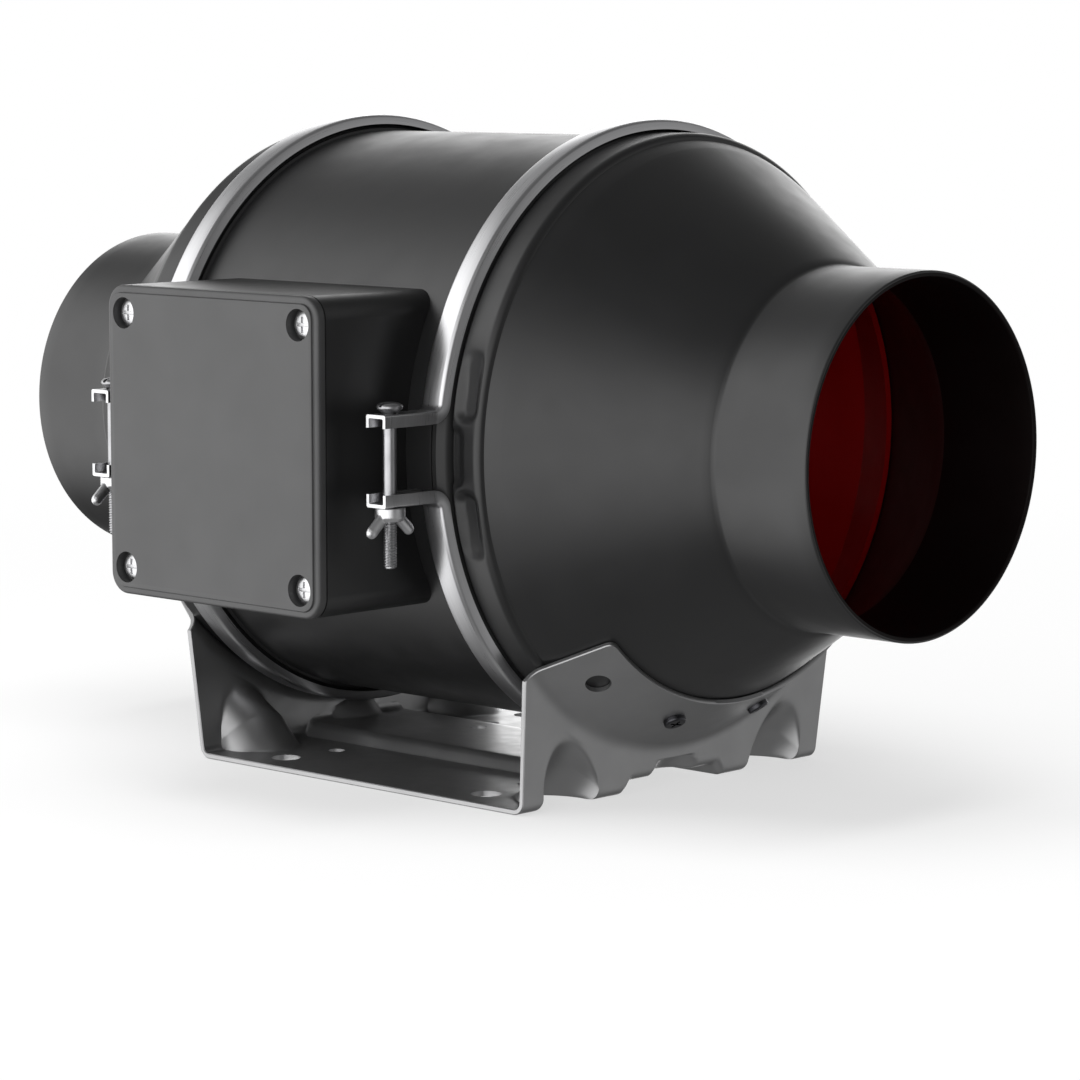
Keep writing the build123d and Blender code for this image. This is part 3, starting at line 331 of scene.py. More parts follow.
def moulded(name, colour, roughness, grain=6e-6, edge=0.0, **inputs):
    """Moulded plastic: fine etched grain, slight flow mottling and uneven sheen."""
    f = Finish(name, colour, roughness, **inputs)
    if edge:
        f.soft_edges(edge, 0.5)
    f.tint(f.noise(35, 3), 0.08)
    f.vary_roughness(f.noise(90, 4), 0.035)
    f.bump(f.noise(2600, 2), grain)
    return f.done()


def plated(name, colour, roughness, grain=3e-6, edge=0.0, stretch=(1, 1, 1)):
    """Plated or bare metal: bright, with fine scratches and a patchy sheen."""
    f = Finish(name, colour, roughness, 1.0)
    if edge:
        f.soft_edges(edge, 0.4)
    f.tint(f.noise(140, 4), 0.10)
    f.vary_roughness(f.noise(500, 3), 0.06)
    f.bump(f.noise(1800, 3, stretch), grain)
    return f.done()


def rolled_strip(name):
    """Bright strip, streaked along its rolling direction around the duct."""
    f = Finish(name, (0.56, 0.56, 0.57), 0.31, 1.0)
    streaks = f.around(3200, 5)
    f.tint(streaks, 0.05)
    f.vary_roughness(streaks, 0.04)
    return f.done()


def coated_sheet(name):
    """Satin grey coat on sheet steel with fine orange peel."""
    f = Finish(name, (0.30, 0.30, 0.303), 0.36, 0.78)
    f.tint(f.noise(60, 3), 0.05)
    f.vary_roughness(f.noise(200, 3), 0.04)
    f.bump(f.noise(1100, 2), 2.5e-6)
    return f.done()


finishes = {
    "black_plastic": moulded("black_plastic", (0.014, 0.014, 0.0145), 0.38, Specular_IOR_Level=0.5),
    "cover_plastic": moulded("cover_plastic", (0.046, 0.046, 0.047), 0.46, grain=1e-5),
    "bracket_steel": coated_sheet("bracket_steel"),
    "band_steel": rolled_strip("band_steel"),
    "zinc_steel": plated("zinc_steel", (0.60, 0.60, 0.61), 0.40, grain=1e-6, edge=1.5e-4),
    "bolt_steel": plated("bolt_steel", (0.36, 0.36, 0.37), 0.36, grain=1e-6, edge=1.5e-4),
    "black_zinc": plated("black_zinc", (0.055, 0.055, 0.06), 0.30, edge=1.5e-4),
    "seal_rubber": moulded("seal_rubber", (0.012, 0.012, 0.012), 0.75, grain=1.5e-5),
    "red_plastic": moulded("red_plastic", (0.36, 0.0015, 0.002), 0.42, grain=3e-6),
    "impeller_plastic": moulded("impeller_plastic", (0.30, 0.0015, 0.002), 0.36, grain=3e-6, edge=3e-4),
    "gland_plastic": moulded("gland_plastic", (0.022, 0.022, 0.023), 0.42, edge=3e-4),
    "block_plastic": moulded("block_plastic", (0.74, 0.72, 0.66), 0.38, edge=3e-4),
    "capacitor_case": moulded("capacitor_case", (0.66, 0.67, 0.69), 0.34),
    "spring_steel": plated("spring_steel", (0.52, 0.52, 0.53), 0.30, edge=2e-4, stretch=(1, 8, 1)),
    "lead_sheath": moulded("lead_sheath", (0.03, 0.03, 0.033), 0.55, grain=1e-5),
    "shield_aluminium": plated("shield_aluminium", (0.60, 0.60, 0.61), 0.48, grain=1.6e-5, edge=3e-4),
    "lamination_steel": plated("lamination_steel", (0.25, 0.25, 0.26), 0.42, stretch=(12, 1, 1)),
    "copper": plated("copper", (0.62, 0.22, 0.09), 0.28, grain=2.5e-5, stretch=(1, 1, 9)),
    "bearing_steel": plated("bearing_steel", (0.74, 0.74, 0.75), 0.14, grain=1e-6, edge=2e-4),
}

for part in frame["record"]["subparts"]:
    node = frame["nodes"][part["node"]]
    node.data.materials.clear()
    node.data.materials.append(finishes[part["material_slot"]])

# ---------------------------------------------------------------- end caps
spigot_r = 48.5 * MM
spigot_wall = 1.7 * MM
crease_x = 120.3 * MM
skirt_r = 82.5 * MM
skirt_start = casing_end + 4.4 * MM + 1.0 * MM
bore_r = flange_r - 5.3 * MM
cone_start = (73.9 * MM, 78.4 * MM)
cone_end = (119.8 * MM, 48.9 * MM)
slope = (cone_start[1] - cone_end[1]) / (cone_end[0] - cone_start[0])
tilt = atan2(cone_start[1] - cone_end[1], cone_end[0] - cone_start[0])


def cone_r(x):
    """Outside radius of the straight cone."""
    return cone_end[1] + (cone_end[0] - x) * slope


def cap_outline():
    """Closed section of an end cap as (x, radius), from the flange along the outside and back inside."""
    inner = casing_end + 1.0 * MM
    wall_shift = 2.0 * MM / cos(tilt)
    groove_r = 80.6 * MM
    points = [(inner, bore_r), (inner, flange_r), (inner + 0.8 * MM, flange_r)]
    points += line(points[-1], (inner + 3.0 * MM, 82.2 * MM), 3)
    points += [(inner + 3.4 * MM, groove_r + 0.1 * MM), (59.0 * MM, groove_r)]
    lip = (59.15 * MM, skirt_r - 0.6 * MM)
    points += [lip]
    points += arc(lip, (59.35 * MM, skirt_r - 0.15 * MM), (59.9 * MM, skirt_r), 5)
    points += line(points[-1], (67.2 * MM, skirt_r), 17)
    points += arc(points[-1], (68.75 * MM, 81.85 * MM), (69.4 * MM, 80.6 * MM), 8)
    points += arc(points[-1], (71.8 * MM, 79.5 * MM), cone_start, 12)
    points += line(points[-1], (cone_end[0] - 0.8 * MM, cone_r(cone_end[0] - 0.8 * MM)), 24)
    points += arc(points[-1], (cone_end[0] + 0.05 * MM, 48.72 * MM), (crease_x + 0.5 * MM, spigot_r), 5)
    points += line(points[-1], (rim_x - 0.6 * MM, spigot_r), 6)
    points += arc(points[-1], (rim_x - 0.18 * MM, spigot_r - 0.18 * MM), (rim_x, spigot_r - 0.6 * MM), 4)
    points += arc((rim_x, spigot_r - spigot_wall + 0.6 * MM),
                  (rim_x - 0.18 * MM, spigot_r - spigot_wall + 0.18 * MM),
                  (rim_x - 0.6 * MM, spigot_r - spigot_wall), 4)
    points += line(points[-1], (crease_x, spigot_r - spigot_wall), 5)
    inside_end = cone_end[0] - 0.8 * MM
    inside_start = 66.2 * MM
    points += [(inside_end, cone_r(inside_end) - wall_shift)]
    points += line(points[-1], (inside_start, cone_r(inside_start) - wall_shift), 10)
    return points


def plateau(x, z, low_x, high_x, low_z, high_z, corner, soft):
    """1 inside a rounded rectangle, falling softly to 0 around it."""
    dx = abs(x - (low_x + high_x) / 2) - (high_x - low_x) / 2 + corner
    dz = abs(z - (low_z + high_z) / 2) - (high_z - low_z) / 2 + corner
    outside = sqrt(max(dx, 0) ** 2 + max(dz, 0) ** 2) + min(max(dx, dz), 0) - corner
    return 1.0 - float(ease(-soft, soft, outside))


def skirt_relief(x, r, y, z):
    """Bolt notch and the soft pockets beside it, on the side where the clamp is bolted."""
    if y > 0 or r < 80.2 * MM or x < 59.1 * MM or x > 72 * MM:
        return 0.0
    height = abs(z)
    notch = plateau(x, height, 57 * MM, 62.6 * MM, -8 * MM, 7.0 * MM, 2.2 * MM, 1.4 * MM)
    pocket = plateau(x, height, 60.9 * MM, 67.0 * MM, 9.9 * MM, 26.5 * MM, 2.6 * MM, 1.6 * MM)
    fade = 1.0 - 0.7 * float(ease(16 * MM, 28 * MM, height))
    return -(1.1 * MM) * notch - (1.55 * MM) * pocket * fade


# painted shade inside the caps: the cone's inside gets a darker copy of the black plastic, tinted with a painted red
# glow from the liner
cone_inside_painted_shade = moulded("cone_inside_painted_shade", (0.022, 0.0075, 0.0075), 0.5, Specular_IOR_Level=0.3)
# painted shade: the spigot's inside gets a near-black copy of the black plastic
spigot_inside_painted_shade = moulded("spigot_inside_painted_shade", (0.003, 0.0012, 0.0012), 0.55, Specular_IOR_Level=0.12)
fine_half = radians(25)
cap_angles = list(np.linspace(-fine_half, fine_half, 131))
cap_angles += list(np.linspace(fine_half, 2 * pi - fine_half, 221))[1:-1]


def end_cap(side, sign):
    body = lathe(f"{side}_cap", cap_outline(), cap_angles, skirt_relief, sign)
    bosses = [body]
    for turn in (-1, 1):
        angle = radians(12.9) * turn
        radial = Vector((0, -sin(angle), -cos(angle)))
        normal = Vector((sign * sin(tilt), 0, 0)) + radial * cos(tilt)
        foot = Vector((sign * 78.3 * MM, 0, axis_z)) + radial * cone_r(78.3 * MM) - normal * 1.2 * MM
        bosses.append(pin(f"{side}_boss", foot, -normal, [(0, 4.6 * MM), (5.9 * MM, 4.6 * MM), (6.3 * MM, 4.2 * MM)]))
    whole = joined(f"{side}_cap", *bosses)
    finished(whole, "fan_frame", "black_plastic", f"{side}_cone")
    whole.data.materials.append(cone_inside_painted_shade)
    whole.data.materials.append(spigot_inside_painted_shade)
    # faces on the inside of the cap get the painted shade: the reddish dark copy in the cone, the near-black copy in
    # the spigot
    for face in whole.data.polygons:
        radial = Vector((0, face.center.y, face.center.z - axis_z))
        if face.normal.dot(radial) < 0 and radial.length < skirt_r - 3 * MM:
            face.material_index = 1 if abs(face.center.x) < crease_x else 2


end_cap("outlet", 1)
end_cap("inlet", -1)

# ---------------------------------------------------------------- clamp bands
sheet_t = 1.0 * MM
band_r = (band_high.z - band_low.z) / 2 - sheet_t / 2
ear_half = 11.5 * MM
ear_root_y = 88.0 * MM
ear_tip = band_low.y
bolt_y = (bolt_low.y + bolt_high.y) / 2


def strip_section(flare):
    """Closed section of the strip as (across, outwards); its flanks spread by flare, from 0 square to 1."""
    half = 3.5 * MM
    corner = (0.55 + 0.25 * flare) * MM
    foot_across = half + 0.95 * MM * flare
    foot_drop = (-2.9 + 0.75 * flare) * MM
    outer = [(-foot_across, foot_drop), (-half - 0.25 * MM * flare, sheet_t / 2 - corner)]
    outer += arc(outer[-1], (-half + 0.3 * corner, sheet_t / 2 - 0.28 * corner),
                 (-half + corner, sheet_t / 2), 5)
    outer += [(-x, y) for x, y in reversed(outer)]
    inner = [(x * (half - 0.85 * sheet_t) / half, y - sheet_t * 0.92) for x, y in outer[2:-2]]
    lip = [(foot_across - 0.95 * MM, foot_drop - 0.05 * MM * flare)]
    return outer + lip + list(reversed(inner)) + [(-x, y) for x, y in lip]


def strip_path():
    """Middle line of the strip in the (y, z) plane about the axis, with the direction along it."""
    bend = 2.5 * MM
    reach = band_r + bend
    bend_z = ear_half + bend
    bend_y = -sqrt(reach ** 2 - bend_z ** 2)
    touch = atan2(bend_z, bend_y)
    points = [((ear_tip + (bend_y - ear_tip) * k / 8, ear_half), 0.0) for k in range(8)]
    turn_end = touch - pi / 2 - pi
    for k in range(11):
        a = -pi / 2 + (touch - pi + pi / 2) * k / 10
        points.append(((bend_y + bend * cos(a), bend_z + bend * sin(a)), a + pi / 2))
    loop = 2 * touch
    for k in range(1, 300):
        a = touch - loop * k / 300
        points.append(((band_r * cos(a), band_r * sin(a)), a - pi / 2))
    mirrored = [((y, -z), pi - heading) for (y, z), heading in reversed(points[:19])]
    return points + mirrored


def clamp_band(side, sign):
    points = []
    for (y, z), heading in strip_path():
        section = strip_section(float(ease(-ear_root_y, -ear_root_y + 5 * MM, y)))
        drop = Vector((0, sin(heading), -cos(heading)))
        for across, out in section:
            points.append(Vector((sign * joint_x + across, y, axis_z + z)) - drop * out)
    count = len(section)
    rows = len(points) // count
    faces = grid_faces(rows, count, False, True)
    faces.append(tuple(range(count)))
    faces.append(tuple((rows - 1) * count + k for k in range(count)))
    band = new_object(f"{side}_band", points, faces)
    outward(band)
    hole = pin("hole", Vector((sign * joint_x, bolt_y, axis_z - 0.02)), Vector((0, 0, 1)), [(0, 2.3 * MM), (0.04, 2.3 * MM)])
    cut(band, hole)
    smooth(band, 38)
    return finished(band, "fan_frame", "band_steel", f"{side}_clamp_band")


clamp_band("outlet", 1)
clamp_band("inlet", -1)


# ---------------------------------------------------------------- clamp bolts and wing nuts
def clamp_bolt(side, sign):
    """Bolt with a slotted head that is conical below, and a thread on its lower part."""
    shank = 1.8 * MM
    bottom, top = bolt_low.z, axis_z + 12.0 * MM
    thread_top = nut_high.z + 1.0 * MM
    pitch, depth = 0.7 * MM, 0.28 * MM
    per_turn, segments = 6, 30
    rows = int((thread_top - bottom) / pitch * per_turn)
    points = []
    for i in range(rows + 1):
        z = bottom + (thread_top - bottom) * i / rows
        runout = min(1.0, (rows - i) / 12)
        chamfer = min(1.0, i / 5)
        for k in range(segments):
            a = 2 * pi * k / segments
            phase = ((z - bottom) / pitch - k / segments) % 1.0
            r = shank - depth * runout * abs(2 * phase - 1) - 0.35 * MM * (1 - chamfer)
            points.append((sign * joint_x + r * cos(a), bolt_y + r * sin(a), z))
    head_r = 3.5 * MM
    profile = [(thread_top + 0.4 * MM, shank), (top, shank), (top + 0.1 * MM, 1.9 * MM), (top + 0.5 * MM, 2.3 * MM),
               (top + 1.3 * MM, head_r - 0.15 * MM), (top + 1.7 * MM, head_r),
               (top + 2.2 * MM, head_r - 0.1 * MM), (top + 2.7 * MM, head_r - 0.7 * MM),
               (bolt_high.z - 0.05 * MM, head_r - 1.8 * MM), (bolt_high.z, head_r - 2.6 * MM)]
    for z, r in profile:
        points += [(sign * joint_x + r * cos(2 * pi * k / segments), bolt_y + r * sin(2 * pi * k / segments), z)
                   for k in range(segments)]
    total = rows + 1 + len(profile)
    faces = grid_faces(total, segments, False, True)
    faces.append(tuple(range(segments)))
    faces.append(tuple((total - 1) * segments + k for k in range(segments)))
    bolt = new_object(f"{side}_bolt", points, faces)
    outward(bolt)
    slot = box_mesh("slot", (sign * joint_x - 0.5 * MM, bolt_y - head_r - MM, bolt_high.z - 1.1 * MM),
                    (sign * joint_x + 0.5 * MM, bolt_y + head_r + MM, bolt_high.z + MM))
    cut(bolt, slot)
    smooth(bolt, 40)
    finished(bolt, "fan_frame", "zinc_steel", f"{side}_clamp_bolt")
    bolt.data.materials[0] = finishes["bolt_steel"]
    return bolt


def box_mesh(name, low, high):
    """Plain block, used as a cutting tool."""
    points = [(x, y, z) for x in (low[0], high[0]) for y in (low[1], high[1]) for z in (low[2], high[2])]
    faces = [(0, 1, 3, 2), (4, 6, 7, 5), (0, 4, 5, 1), (2, 3, 7, 6), (0, 2, 6, 4), (1, 5, 7, 3)]
    obj = new_object(name, points, faces)
    outward(obj)
    return obj


def wing_nut(side, sign):
    """Cast wing nut: round boss and two drooping wings with round ends, melted together."""
    x = sign * joint_x
    top, height = nut_high.z, 3.6 * MM
    boss = pin("boss", Vector((x, bolt_y, top)), Vector((0, 0, -1)),
               [(0, 4.0 * MM), (height * 0.7, 4.0 * MM), (height, 3.2 * MM)], 48)
    parts = [boss]
    for turn in (-1, 1):
        start = Vector((x, bolt_y + turn * 2.4 * MM, top - 2.3 * MM))
        end = Vector((x, bolt_y + turn * 6.6 * MM, top - 6.1 * MM))
        along = (end - start).normalized()
        across = Vector((1, 0, 0)).cross(along)
        rings = [(start.lerp(end, share), 1.65 * MM, 1.3 * MM) for share in (0.0, 0.5, 1.0)]
        for share in (0.55, 0.85, 0.99):
            shrink = sqrt(1 - share ** 2)
            rings.append((end + along * 1.6 * MM * share, 1.65 * MM * shrink, 1.3 * MM * shrink))
        points = []
        for centre, half_wide, half_thick in rings:
            for k in range(24):
                a = 2 * pi * k / 24
                points.append(centre + across * half_wide * cos(a) + Vector((1, 0, 0)) * half_thick * sin(a))
        last = (len(rings) - 1) * 24
        faces = grid_faces(len(rings), 24, False, True)
        faces += [tuple(range(24)), tuple(last + k for k in range(24))]
        wing = new_object("wing", points, faces)
        outward(wing)
        parts.append(wing)
    nut = joined(f"{side}_nut", *parts)
    applied(nut, "REMESH", mode="VOXEL", voxel_size=0.20 * MM)
    applied(nut, "SMOOTH", iterations=5, factor=0.5)
    bore = pin("bore", Vector((x, bolt_y, top + 2 * MM)), Vector((0, 0, -1)), [(0, 2.05 * MM), (0.012, 2.05 * MM)], 30)
    cut(nut, bore)
    smooth(nut, 40)
    return finished(nut, f"{side}_nut", "zinc_steel", f"{side}_wing_nut")


for side, sign in (("outlet", 1), ("inlet", -1)):
    clamp_bolt(side, sign)
    wing_nut(side, sign)

# ---------------------------------------------------------------- terminal cover and its screws
cover_low, cover_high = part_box("terminal_cover")
seam_y = -110.0 * MM
recess_y = -110.5 * MM
screw_places = [(x * MM, z * MM) for x in (-34.3, 34.3) for z in (-34.5, 34.5)]
cover_corner = 6.0 * MM


def rounded_rectangle(inset, y):
    """Outline of the cover, moved inwards by inset, as points at a given y."""
    half_x = cover_high.x - inset
    half_z = (cover_high.z - cover_low.z) / 2 - inset
    radius = max(cover_corner - inset, 0.8 * MM)
    points = []
    for quarter, (side_x, side_z) in enumerate(((1, 1), (-1, 1), (-1, -1), (1, -1))):
        for k in range(9):
            a = pi / 2 * (quarter + k / 8)
            points.append((side_x * (half_x - radius) + radius * cos(a), y,
                           axis_z + side_z * (half_z - radius) + radius * sin(a)))
    return points


def terminal_cover():
    """Cover with a rounded rim, a slightly raised face, deep screw recesses and a lip behind."""
    front = cover_low.y
    lip_outer, lip_inner = 3.1 * MM, 4.6 * MM
    profile = [(lip_inner, seam_y), (lip_inner, seam_y + 2.5 * MM), (lip_outer, seam_y + 2.5 * MM),
               (lip_outer, seam_y), (0.3 * MM, seam_y), (0.3 * MM, seam_y - 0.25 * MM),
               (0.0, seam_y - 0.5 * MM)]
    rim_y, rim_r = front + 0.6 * MM, 1.0 * MM
    for k in range(6):
        a = pi / 2 * k / 5
        profile.append((rim_r * (1 - cos(a)), rim_y + rim_r * (1 - sin(a))))
    profile += [(1.85 * MM, rim_y), (1.95 * MM, rim_y - 0.08 * MM), (2.05 * MM, front + 0.15 * MM),
                (2.15 * MM, front + 0.04 * MM), (2.35 * MM, front)]
    points = [p for inset, y in profile for p in rounded_rectangle(inset, y)]
    count = len(points) // len(profile)
    faces = grid_faces(len(profile), count, False, True)
    faces.append(tuple(range(count)))
    faces.append(tuple((len(profile) - 1) * count + k for k in range(count)))
    cover = new_object("cover_shell", points, faces)
    outward(cover)
    tools = []
    for x, z in screw_places:
        foot = Vector((x, recess_y, axis_z + z))
        tools.append(pin("tool", foot, Vector((0, -1, 0)), [(0, 4.15 * MM), (5 * MM, 4.3 * MM)], 40))
        tools.append(pin("tool", foot + Vector((0, 4 * MM, 0)), Vector((0, -1, 0)),
                         [(0, 2.1 * MM), (6 * MM, 2.1 * MM)], 32))
        tools.append(box_mesh("tool", (x - 7 * MM, seam_y + 0.02 * MM, axis_z + z - 7 * MM),
                              (x + 7 * MM, seam_y + 4 * MM, axis_z + z + 7 * MM)))
    for tool in tools:
        cut(cover, tool)
    smooth(cover, 28)
    return finished(cover, "cover", "cover_plastic", "terminal_cover")


def cover_screws():
    """Four cross-recessed screws at the bottom of the cover's recesses."""
    screws = []
    for x, z in screw_places:
        foot = Vector((x, recess_y - 0.02 * MM, axis_z + z))
        outline = [(-11.8, 1.1), (-11.0, 1.8), (-0.1, 1.8), (0.0, 3.3), (0.35, 3.5), (0.7, 3.35),
                   (0.95, 2.8), (1.1, 2.0), (1.16, 1.0)]
        screw = pin("screw", foot, Vector((0, -1, 0)), [(h * MM, r * MM) for h, r in outline], 40)
        for half_x, half_z in ((0.45 * MM, 2.1 * MM), (2.1 * MM, 0.45 * MM)):
            cut(screw, box_mesh("slot", (x - half_x, foot.y - 3 * MM, foot.z - half_z),
                                (x + half_x, foot.y - 0.45 * MM, foot.z + half_z)))
        screws.append(screw)
    whole = joined("cover_screw_set", *screws)
    return finished(whole, "cover", "zinc_steel", "cover_screws")


terminal_cover()
cover_screws()

# ---------------------------------------------------------------- bracket
steel = 1.5 * MM
base_x = 64.2 * MM
base_y = 61.0 * MM
flare = radians(5)
bend_r = 3.6 * MM
saddle_half = radians(46)
saddle_x = bracket_high.x
rib_half, rib_foot, rib_rise = 17.5 * MM, 21.0 * MM, 3.5 * MM
saddle_lift = 0.15 * MM / cos(tilt) + steel / cos(tilt)
gussets = ((-42.0 * MM, 10.9 * MM, 17.0 * MM), (0.0, 9.4 * MM, 10.2 * MM), (42.0 * MM, 10.9 * MM, 17.0 * MM))


def bracket_columns():
    """Places across the bracket, closer together where a stamped gusset stands."""
    marks = {-base_y, base_y, -rib_half, rib_half, -rib_foot, rib_foot}
    for y, half, _ in gussets:
        marks |= {y + half * sin(radians(a)) for a in range(-90, 91, 5)}
        marks |= {y - half - 0.3 * MM, y + half + 0.3 * MM, y - half - 0.9 * MM, y + half + 0.9 * MM}
    spots = sorted(marks)
    filled = [spots[0]]
    for spot in spots[1:]:
        gap = spot - filled[-1]
        if gap < 0.15 * MM:
            continue
        steps = max(1, round(gap / (1.1 * MM)))
        filled += [filled[-1] + gap * k / steps for k in range(1, steps + 1)]
    filled[-1] = base_y
    return np.array(filled)


def rounded(corner, way_in, way_out, radius, steps):
    """Rows of an arc that rounds a corner between two directions; arrays of 2-D points and directions."""
    turn = np.arccos(np.clip((way_in * way_out).sum(1), -1, 1))[:, None]
    reach = radius * np.tan(turn / 2)
    start = corner - way_in * reach
    bisector = way_out - way_in
    bisector /= np.linalg.norm(bisector, axis=1)[:, None]
    centre = corner + bisector * radius / np.cos(turn / 2)
    first = (start - centre) / radius
    last = (corner + way_out * reach - centre) / radius
    rows = []
    for k in range(steps + 1):
        s = k / steps
        rows.append(centre + radius * (first * np.sin((1 - s) * turn) + last * np.sin(s * turn)) / np.sin(turn))
    return rows


def bracket_half():
    """Underside of one half of the sheet as rows of points, from its middle over base, plate and saddle."""
    y = bracket_columns()
    share = y / base_y
    angle = share * saddle_half
    rib = rib_rise * ease(-rib_foot, -rib_half, -abs(y))
    one = np.ones_like(y)
    rows = []
    spread = []

    def add(x, ys, z, room):
        rows.append(np.stack([x, ys, z], 1))
        spread.append(room * one)

    bend_reach = bend_r * tan((pi / 2 - flare) / 2)
    corner = np.stack([base_x + rib * tan(flare), rib], 1)
    bend = rounded(corner, np.stack([one, 0 * one], 1), np.stack([sin(flare) * one, cos(flare) * one], 1), bend_r, 8)
    stops = list(np.linspace(0, 44 * MM, 20)) + list(np.linspace(44 * MM, base_x - bend_reach, 20))[1:]
    for x in stops[:-1]:
        add(x * one, y, rib, 1.0)
    for row in bend:
        add(row[:, 0], y, row[:, 1], 1.0)
    # crease between plate and saddle, in the plane through the duct axis at each column
    line_at_zero = cone_end[1] + cone_end[0] * slope + saddle_lift
    run = tan(flare)
    crease_x_at = (base_x + (axis_z - line_at_zero * np.cos(angle)) * run) / (1 - slope * np.cos(angle) * run)
    crease = np.stack([crease_x_at, line_at_zero - slope * crease_x_at], 1)
    way_in = np.stack([run * np.cos(angle), -one], 1)
    way_in /= np.linalg.norm(way_in, axis=1)[:, None]
    way_out = np.stack([one, -slope * one], 1) / sqrt(1 + slope ** 2)
    fold = rounded(crease, way_in, way_out, 6.0 * MM, 10)
    top = fold[0]
    top_y, top_z = top[:, 1] * np.sin(angle), axis_z - top[:, 1] * np.cos(angle)
    foot_z = bend[-1][:, 1]
    length = np.hypot(top_z - foot_z, top_y - y)
    for k in range(1, 30):
        s = k / 30
        z = foot_z + (top_z - foot_z) * s
        add(base_x + z * run, y + (top_y - y) * s, z, ease(0, 2.5 * MM, (1 - s) * length))
    for row in fold:
        add(row[:, 0], row[:, 1] * np.sin(angle), axis_z - row[:, 1] * np.cos(angle), 0.0)
    tail = np.concatenate([np.linspace(0, 1, 13)[1:-1] * 0.86, [0.86, 0.90, 0.94, 0.97, 0.99, 1.0]])
    start_x = fold[-1][:, 0]
    for s in tail:
        x = start_x + (saddle_x - start_x) * s
        r = line_at_zero - slope * x
        edge = np.clip(2.2 * MM - (saddle_x - x) / cos(tilt), 0, None)
        trim = 2.2 * MM - np.sqrt(np.clip((2.2 * MM) ** 2 - edge ** 2, 0, None))
        bent = angle * (1 - trim / (r * saddle_half))
        add(x, r * np.sin(bent), axis_z - r * np.cos(bent), 0.0)
    points = np.array(rows)
    room = np.array(spread)
    # stamped gussets push the fold inwards along its 45 degree middle line
    inwards = np.array([-1, 0, 1]) / sqrt(2)
    depth = (points - np.array([base_x, 0, 0])) @ inwards
    push = np.zeros_like(depth)
    soft = 1.3 * MM
    for place, half, height in gussets:
        off = (y - place) / half
        crown = np.where(abs(off) < 1, height / sqrt(2) * np.sqrt(np.clip(1 - off ** 2, 0, 1)),
                         -3.0 * (abs(off) - 1) * half)
        lift = crown[None, :] - depth
        push = np.maximum(push, (lift + np.sqrt(lift ** 2 + soft ** 2)) / 2 - 0.02 * MM)
    near = ease(0.0, 0.25 * MM, push)
    points += (push * near * room)[:, :, None] * inwards
    return points


def bracket():
    half = bracket_half()
    mirrored = half[::-1].copy()
    mirrored[:, :, 0] *= -1
    under = np.concatenate([mirrored[:-1], half])
    rows, columns = under.shape[:2]
    along = np.gradient(under, axis=0)
    across = np.gradient(under, axis=1)
    normal = np.cross(along, across)
    normal /= np.linalg.norm(normal, axis=2)[:, :, None]
    over = under + normal * steel
    # thickness layers: outside face, two layers that round the rim, inside face
    layers = [under]
    for share in (0.16, 0.84):
        layers.append(under + normal * steel * share)
    layers.append(over)
    outwards = np.zeros_like(under)
    outwards[0] -= along[0] / np.linalg.norm(along[0], axis=1)[:, None]
    outwards[-1] += along[-1] / np.linalg.norm(along[-1], axis=1)[:, None]
    outwards[:, 0] -= across[:, 0] / np.linalg.norm(across[:, 0], axis=1)[:, None]
    outwards[:, -1] += across[:, -1] / np.linalg.norm(across[:, -1], axis=1)[:, None]
    for layer in (0, 3):
        layers[layer] = layers[layer] - outwards * 0.25 * MM
    points = np.concatenate([layer.reshape(-1, 3) for layer in layers])
    step = rows * columns
    faces = [tuple(reversed(f)) for f in grid_faces(rows, columns)]
    faces += [tuple(3 * step + i for i in f) for f in grid_faces(rows, columns)]
    loop = [j for j in range(columns)]
    loop += [i * columns + columns - 1 for i in range(1, rows)]
    loop += [(rows - 1) * columns + j for j in range(columns - 2, -1, -1)]
    loop += [i * columns for i in range(rows - 2, 0, -1)]
    for layer in range(3):
        for k in range(len(loop)):
            a, b = loop[k], loop[(k + 1) % len(loop)]
            faces.append((layer * step + a, layer * step + b, (layer + 1) * step + b, (layer + 1) * step + a))
    used = sorted({i for f in faces for i in f})
    index = {old: new for new, old in enumerate(used)}
    sheet = new_object("fan_bracket", points[used], [tuple(index[i] for i in f) for f in faces])
    outward(sheet)
    tools = []
    for x_sign in (-1, 1):
        for x, y, r in ((40, 50, 4.25), (40, -50, 4.25), (38, 32, 2.5), (38, -32, 2.5), (21.5, 9.8, 2.5), (24, 28, 5.0)):
            tools.append(pin("tool", Vector((x_sign * x * MM, y * MM, -5 * MM)), Vector((0, 0, 1)),
                             [(0, r * MM), (15 * MM, r * MM)], 40))
        for turn, x, r in ((37.0, 77.5, 3.5), (-37.0, 77.5, 3.5), (12.9, 78.3, 2.3), (-12.9, 78.3, 2.3)):
            a = radians(turn)
            radial = Vector((0, -sin(a), -cos(a)))
            out = Vector((x_sign * sin(tilt), 0, 0)) + radial * cos(tilt)
            foot = Vector((x_sign * x * MM, 0, axis_z)) + radial * cone_r(x * MM) - out * 4 * MM
            tools.append(pin("tool", foot, out, [(0, r * MM), (10 * MM, r * MM)], 40))
    cut(sheet, *tools)
    smooth(sheet, 40)
    return finished(sheet, "fan_frame", "bracket_steel", "bracket")


bracket()

